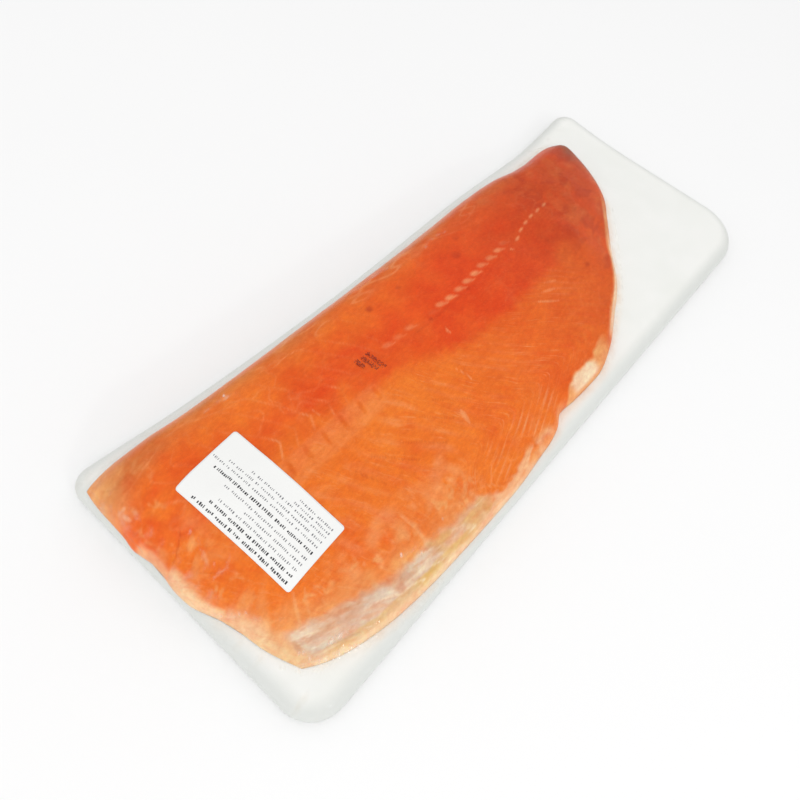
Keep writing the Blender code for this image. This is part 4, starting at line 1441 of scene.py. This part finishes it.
class SALMON_PACK_OT_date(Operator):
    """Make the rows of dots printed on the film"""

    bl_idname = "salmon_pack.date"
    bl_label = "Printed dots"
    bl_options = {"REGISTER", "UNDO"}

    def execute(self, context):
        """Rows of small dots on the film, in random columns that spell nothing."""
        pack = context.scene.salmon_pack
        corners = date_dots(np.random.default_rng(11)) * MM
        points, faces = ink_boxes(corners, FilmHeights(pack).at, DOT_LIFT)
        new_piece("date_dots", points, faces, ink_material("date_ink", pack.label.date_ink, 0.10), "film")
        return {"FINISHED"}


class SALMON_PACK_OT_stage(Operator):
    """Make the floor, the lights and the camera"""

    bl_idname = "salmon_pack.stage"
    bl_label = "Stage"
    bl_options = {"REGISTER", "UNDO"}

    def execute(self, context):
        """A plain floor, a large soft light, a small one for glints, an even sky, and the camera."""
        stage = context.scene.salmon_pack.stage
        self.add_floor(stage)
        soft = self.add_light("soft_light", stage.key, *SOFT_LIGHT)
        soft.visible_glossy = False
        self.add_light("small_light", stage.glint, *SMALL_LIGHT)
        self.add_sky(stage)
        self.add_camera()
        view = bpy.context.scene.view_settings
        view.view_transform = "Standard"
        view.look = "None"
        return {"FINISHED"}

    @staticmethod
    def add_floor(stage):
        """A square floor just below the pack."""
        half = stage.floor_size / 2
        corners = [(-half, -half, FLOOR_HEIGHT), (half, -half, FLOOR_HEIGHT), (half, half, FLOOR_HEIGHT),
                   (-half, half, FLOOR_HEIGHT)]
        mesh = bpy.data.meshes.new("floor")
        mesh.from_pydata(corners, [], [(0, 1, 2, 3)])
        mesh.materials.append(floor_material(tuple(stage.floor)))
        floor = bpy.data.objects.new("floor", mesh)
        bpy.context.scene.collection.objects.link(floor)

    @staticmethod
    def add_light(name, watts, size, place, target):
        """A square light at a place, turned to face a target."""
        light = bpy.data.lights.new(name, "AREA")
        light.energy = watts
        light.size = size
        holder = bpy.data.objects.new(name, light)
        holder.location = place
        away = holder.location - Vector(target)
        holder.rotation_euler = away.to_track_quat("Z", "Y").to_euler()
        bpy.context.scene.collection.objects.link(holder)
        return holder

    @staticmethod
    def add_sky(stage):
        """Even light from all round: white to the camera, and brightest in mirrors near the horizon."""
        world = bpy.data.worlds.new("studio")
        bpy.context.scene.world = world
        world.use_nodes = True
        tree = world.node_tree
        background = tree.nodes["Background"]
        background.inputs["Color"].default_value = (1.0, 1.0, 1.0, 1.0)
        rays = tree.nodes.new("ShaderNodeLightPath")
        seen = fitted(tree, rays.outputs["Is Camera Ray"], 0.0, 1.0, stage.sky, 1.0)
        direction = tree.nodes.new("ShaderNodeTexCoord").outputs["Generated"]
        way = add_node(tree, "ShaderNodeSeparateXYZ", {0: direction})
        ring = fitted(tree, way.outputs["Z"], 0.20, 0.50, 0.50, 0.08)
        strength = fitted(tree, rays.outputs["Is Glossy Ray"], 0.0, 1.0, seen, ring)
        tree.links.new(strength, background.inputs["Strength"])

    @staticmethod
    def add_camera():
        """The camera, at the photo's angle."""
        lens = bpy.data.cameras.new("camera")
        lens.lens = CAMERA_LENS
        lens.sensor_width = SENSOR_WIDTH
        lens.clip_start = NEAR_CLIP
        camera = bpy.data.objects.new("camera", lens)
        camera.matrix_world = Matrix(CAMERA_MATRIX)
        bpy.context.scene.collection.objects.link(camera)
        bpy.context.scene.camera = camera


class SALMON_PACK_PT_panel(Panel):
    """Settings and operators of the pack."""

    bl_label = "Wrapped salmon fillet"
    bl_idname = "SALMON_PACK_PT_panel"
    bl_space_type = "VIEW_3D"
    bl_region_type = "UI"
    bl_category = "Salmon"

    def draw(self, context):
        """One box for each group of settings, with its operators."""
        pack = context.scene.salmon_pack
        for group, operators in (("board", [SALMON_PACK_OT_board]), ("flesh", [SALMON_PACK_OT_flesh]),
                                 ("film", [SALMON_PACK_OT_film]),
                                 ("label", [SALMON_PACK_OT_label, SALMON_PACK_OT_date]),
                                 ("stage", [SALMON_PACK_OT_stage])):
            box = self.layout.box()
            settings = getattr(pack, group)
            for name in settings.__annotations__:
                box.prop(settings, name)
            for operator in operators:
                box.operator(operator.bl_idname)


CLASSES = (BoardSettings, FleshSettings, FilmSettings, LabelSettings, StageSettings, PackSettings,
           SALMON_PACK_OT_board, SALMON_PACK_OT_flesh, SALMON_PACK_OT_film, SALMON_PACK_OT_label,
           SALMON_PACK_OT_date, SALMON_PACK_OT_stage, SALMON_PACK_PT_panel)


def register():
    """Adds the settings, operators and panel."""
    for item in CLASSES:
        bpy.utils.register_class(item)
    bpy.types.Scene.salmon_pack = PointerProperty(type=PackSettings)


def unregister():
    """Takes them away again."""
    del bpy.types.Scene.salmon_pack
    for item in reversed(CLASSES):
        bpy.utils.unregister_class(item)


def main():
    """Builds the pack and its stage."""
    register()
    bpy.ops.salmon_pack.stage()
    bpy.ops.salmon_pack.board()
    bpy.ops.salmon_pack.flesh()
    bpy.ops.salmon_pack.film()
    bpy.ops.salmon_pack.label()
    bpy.ops.salmon_pack.date()
    bpy.context.view_layer.update()


if __name__ == "__main__":
    main()
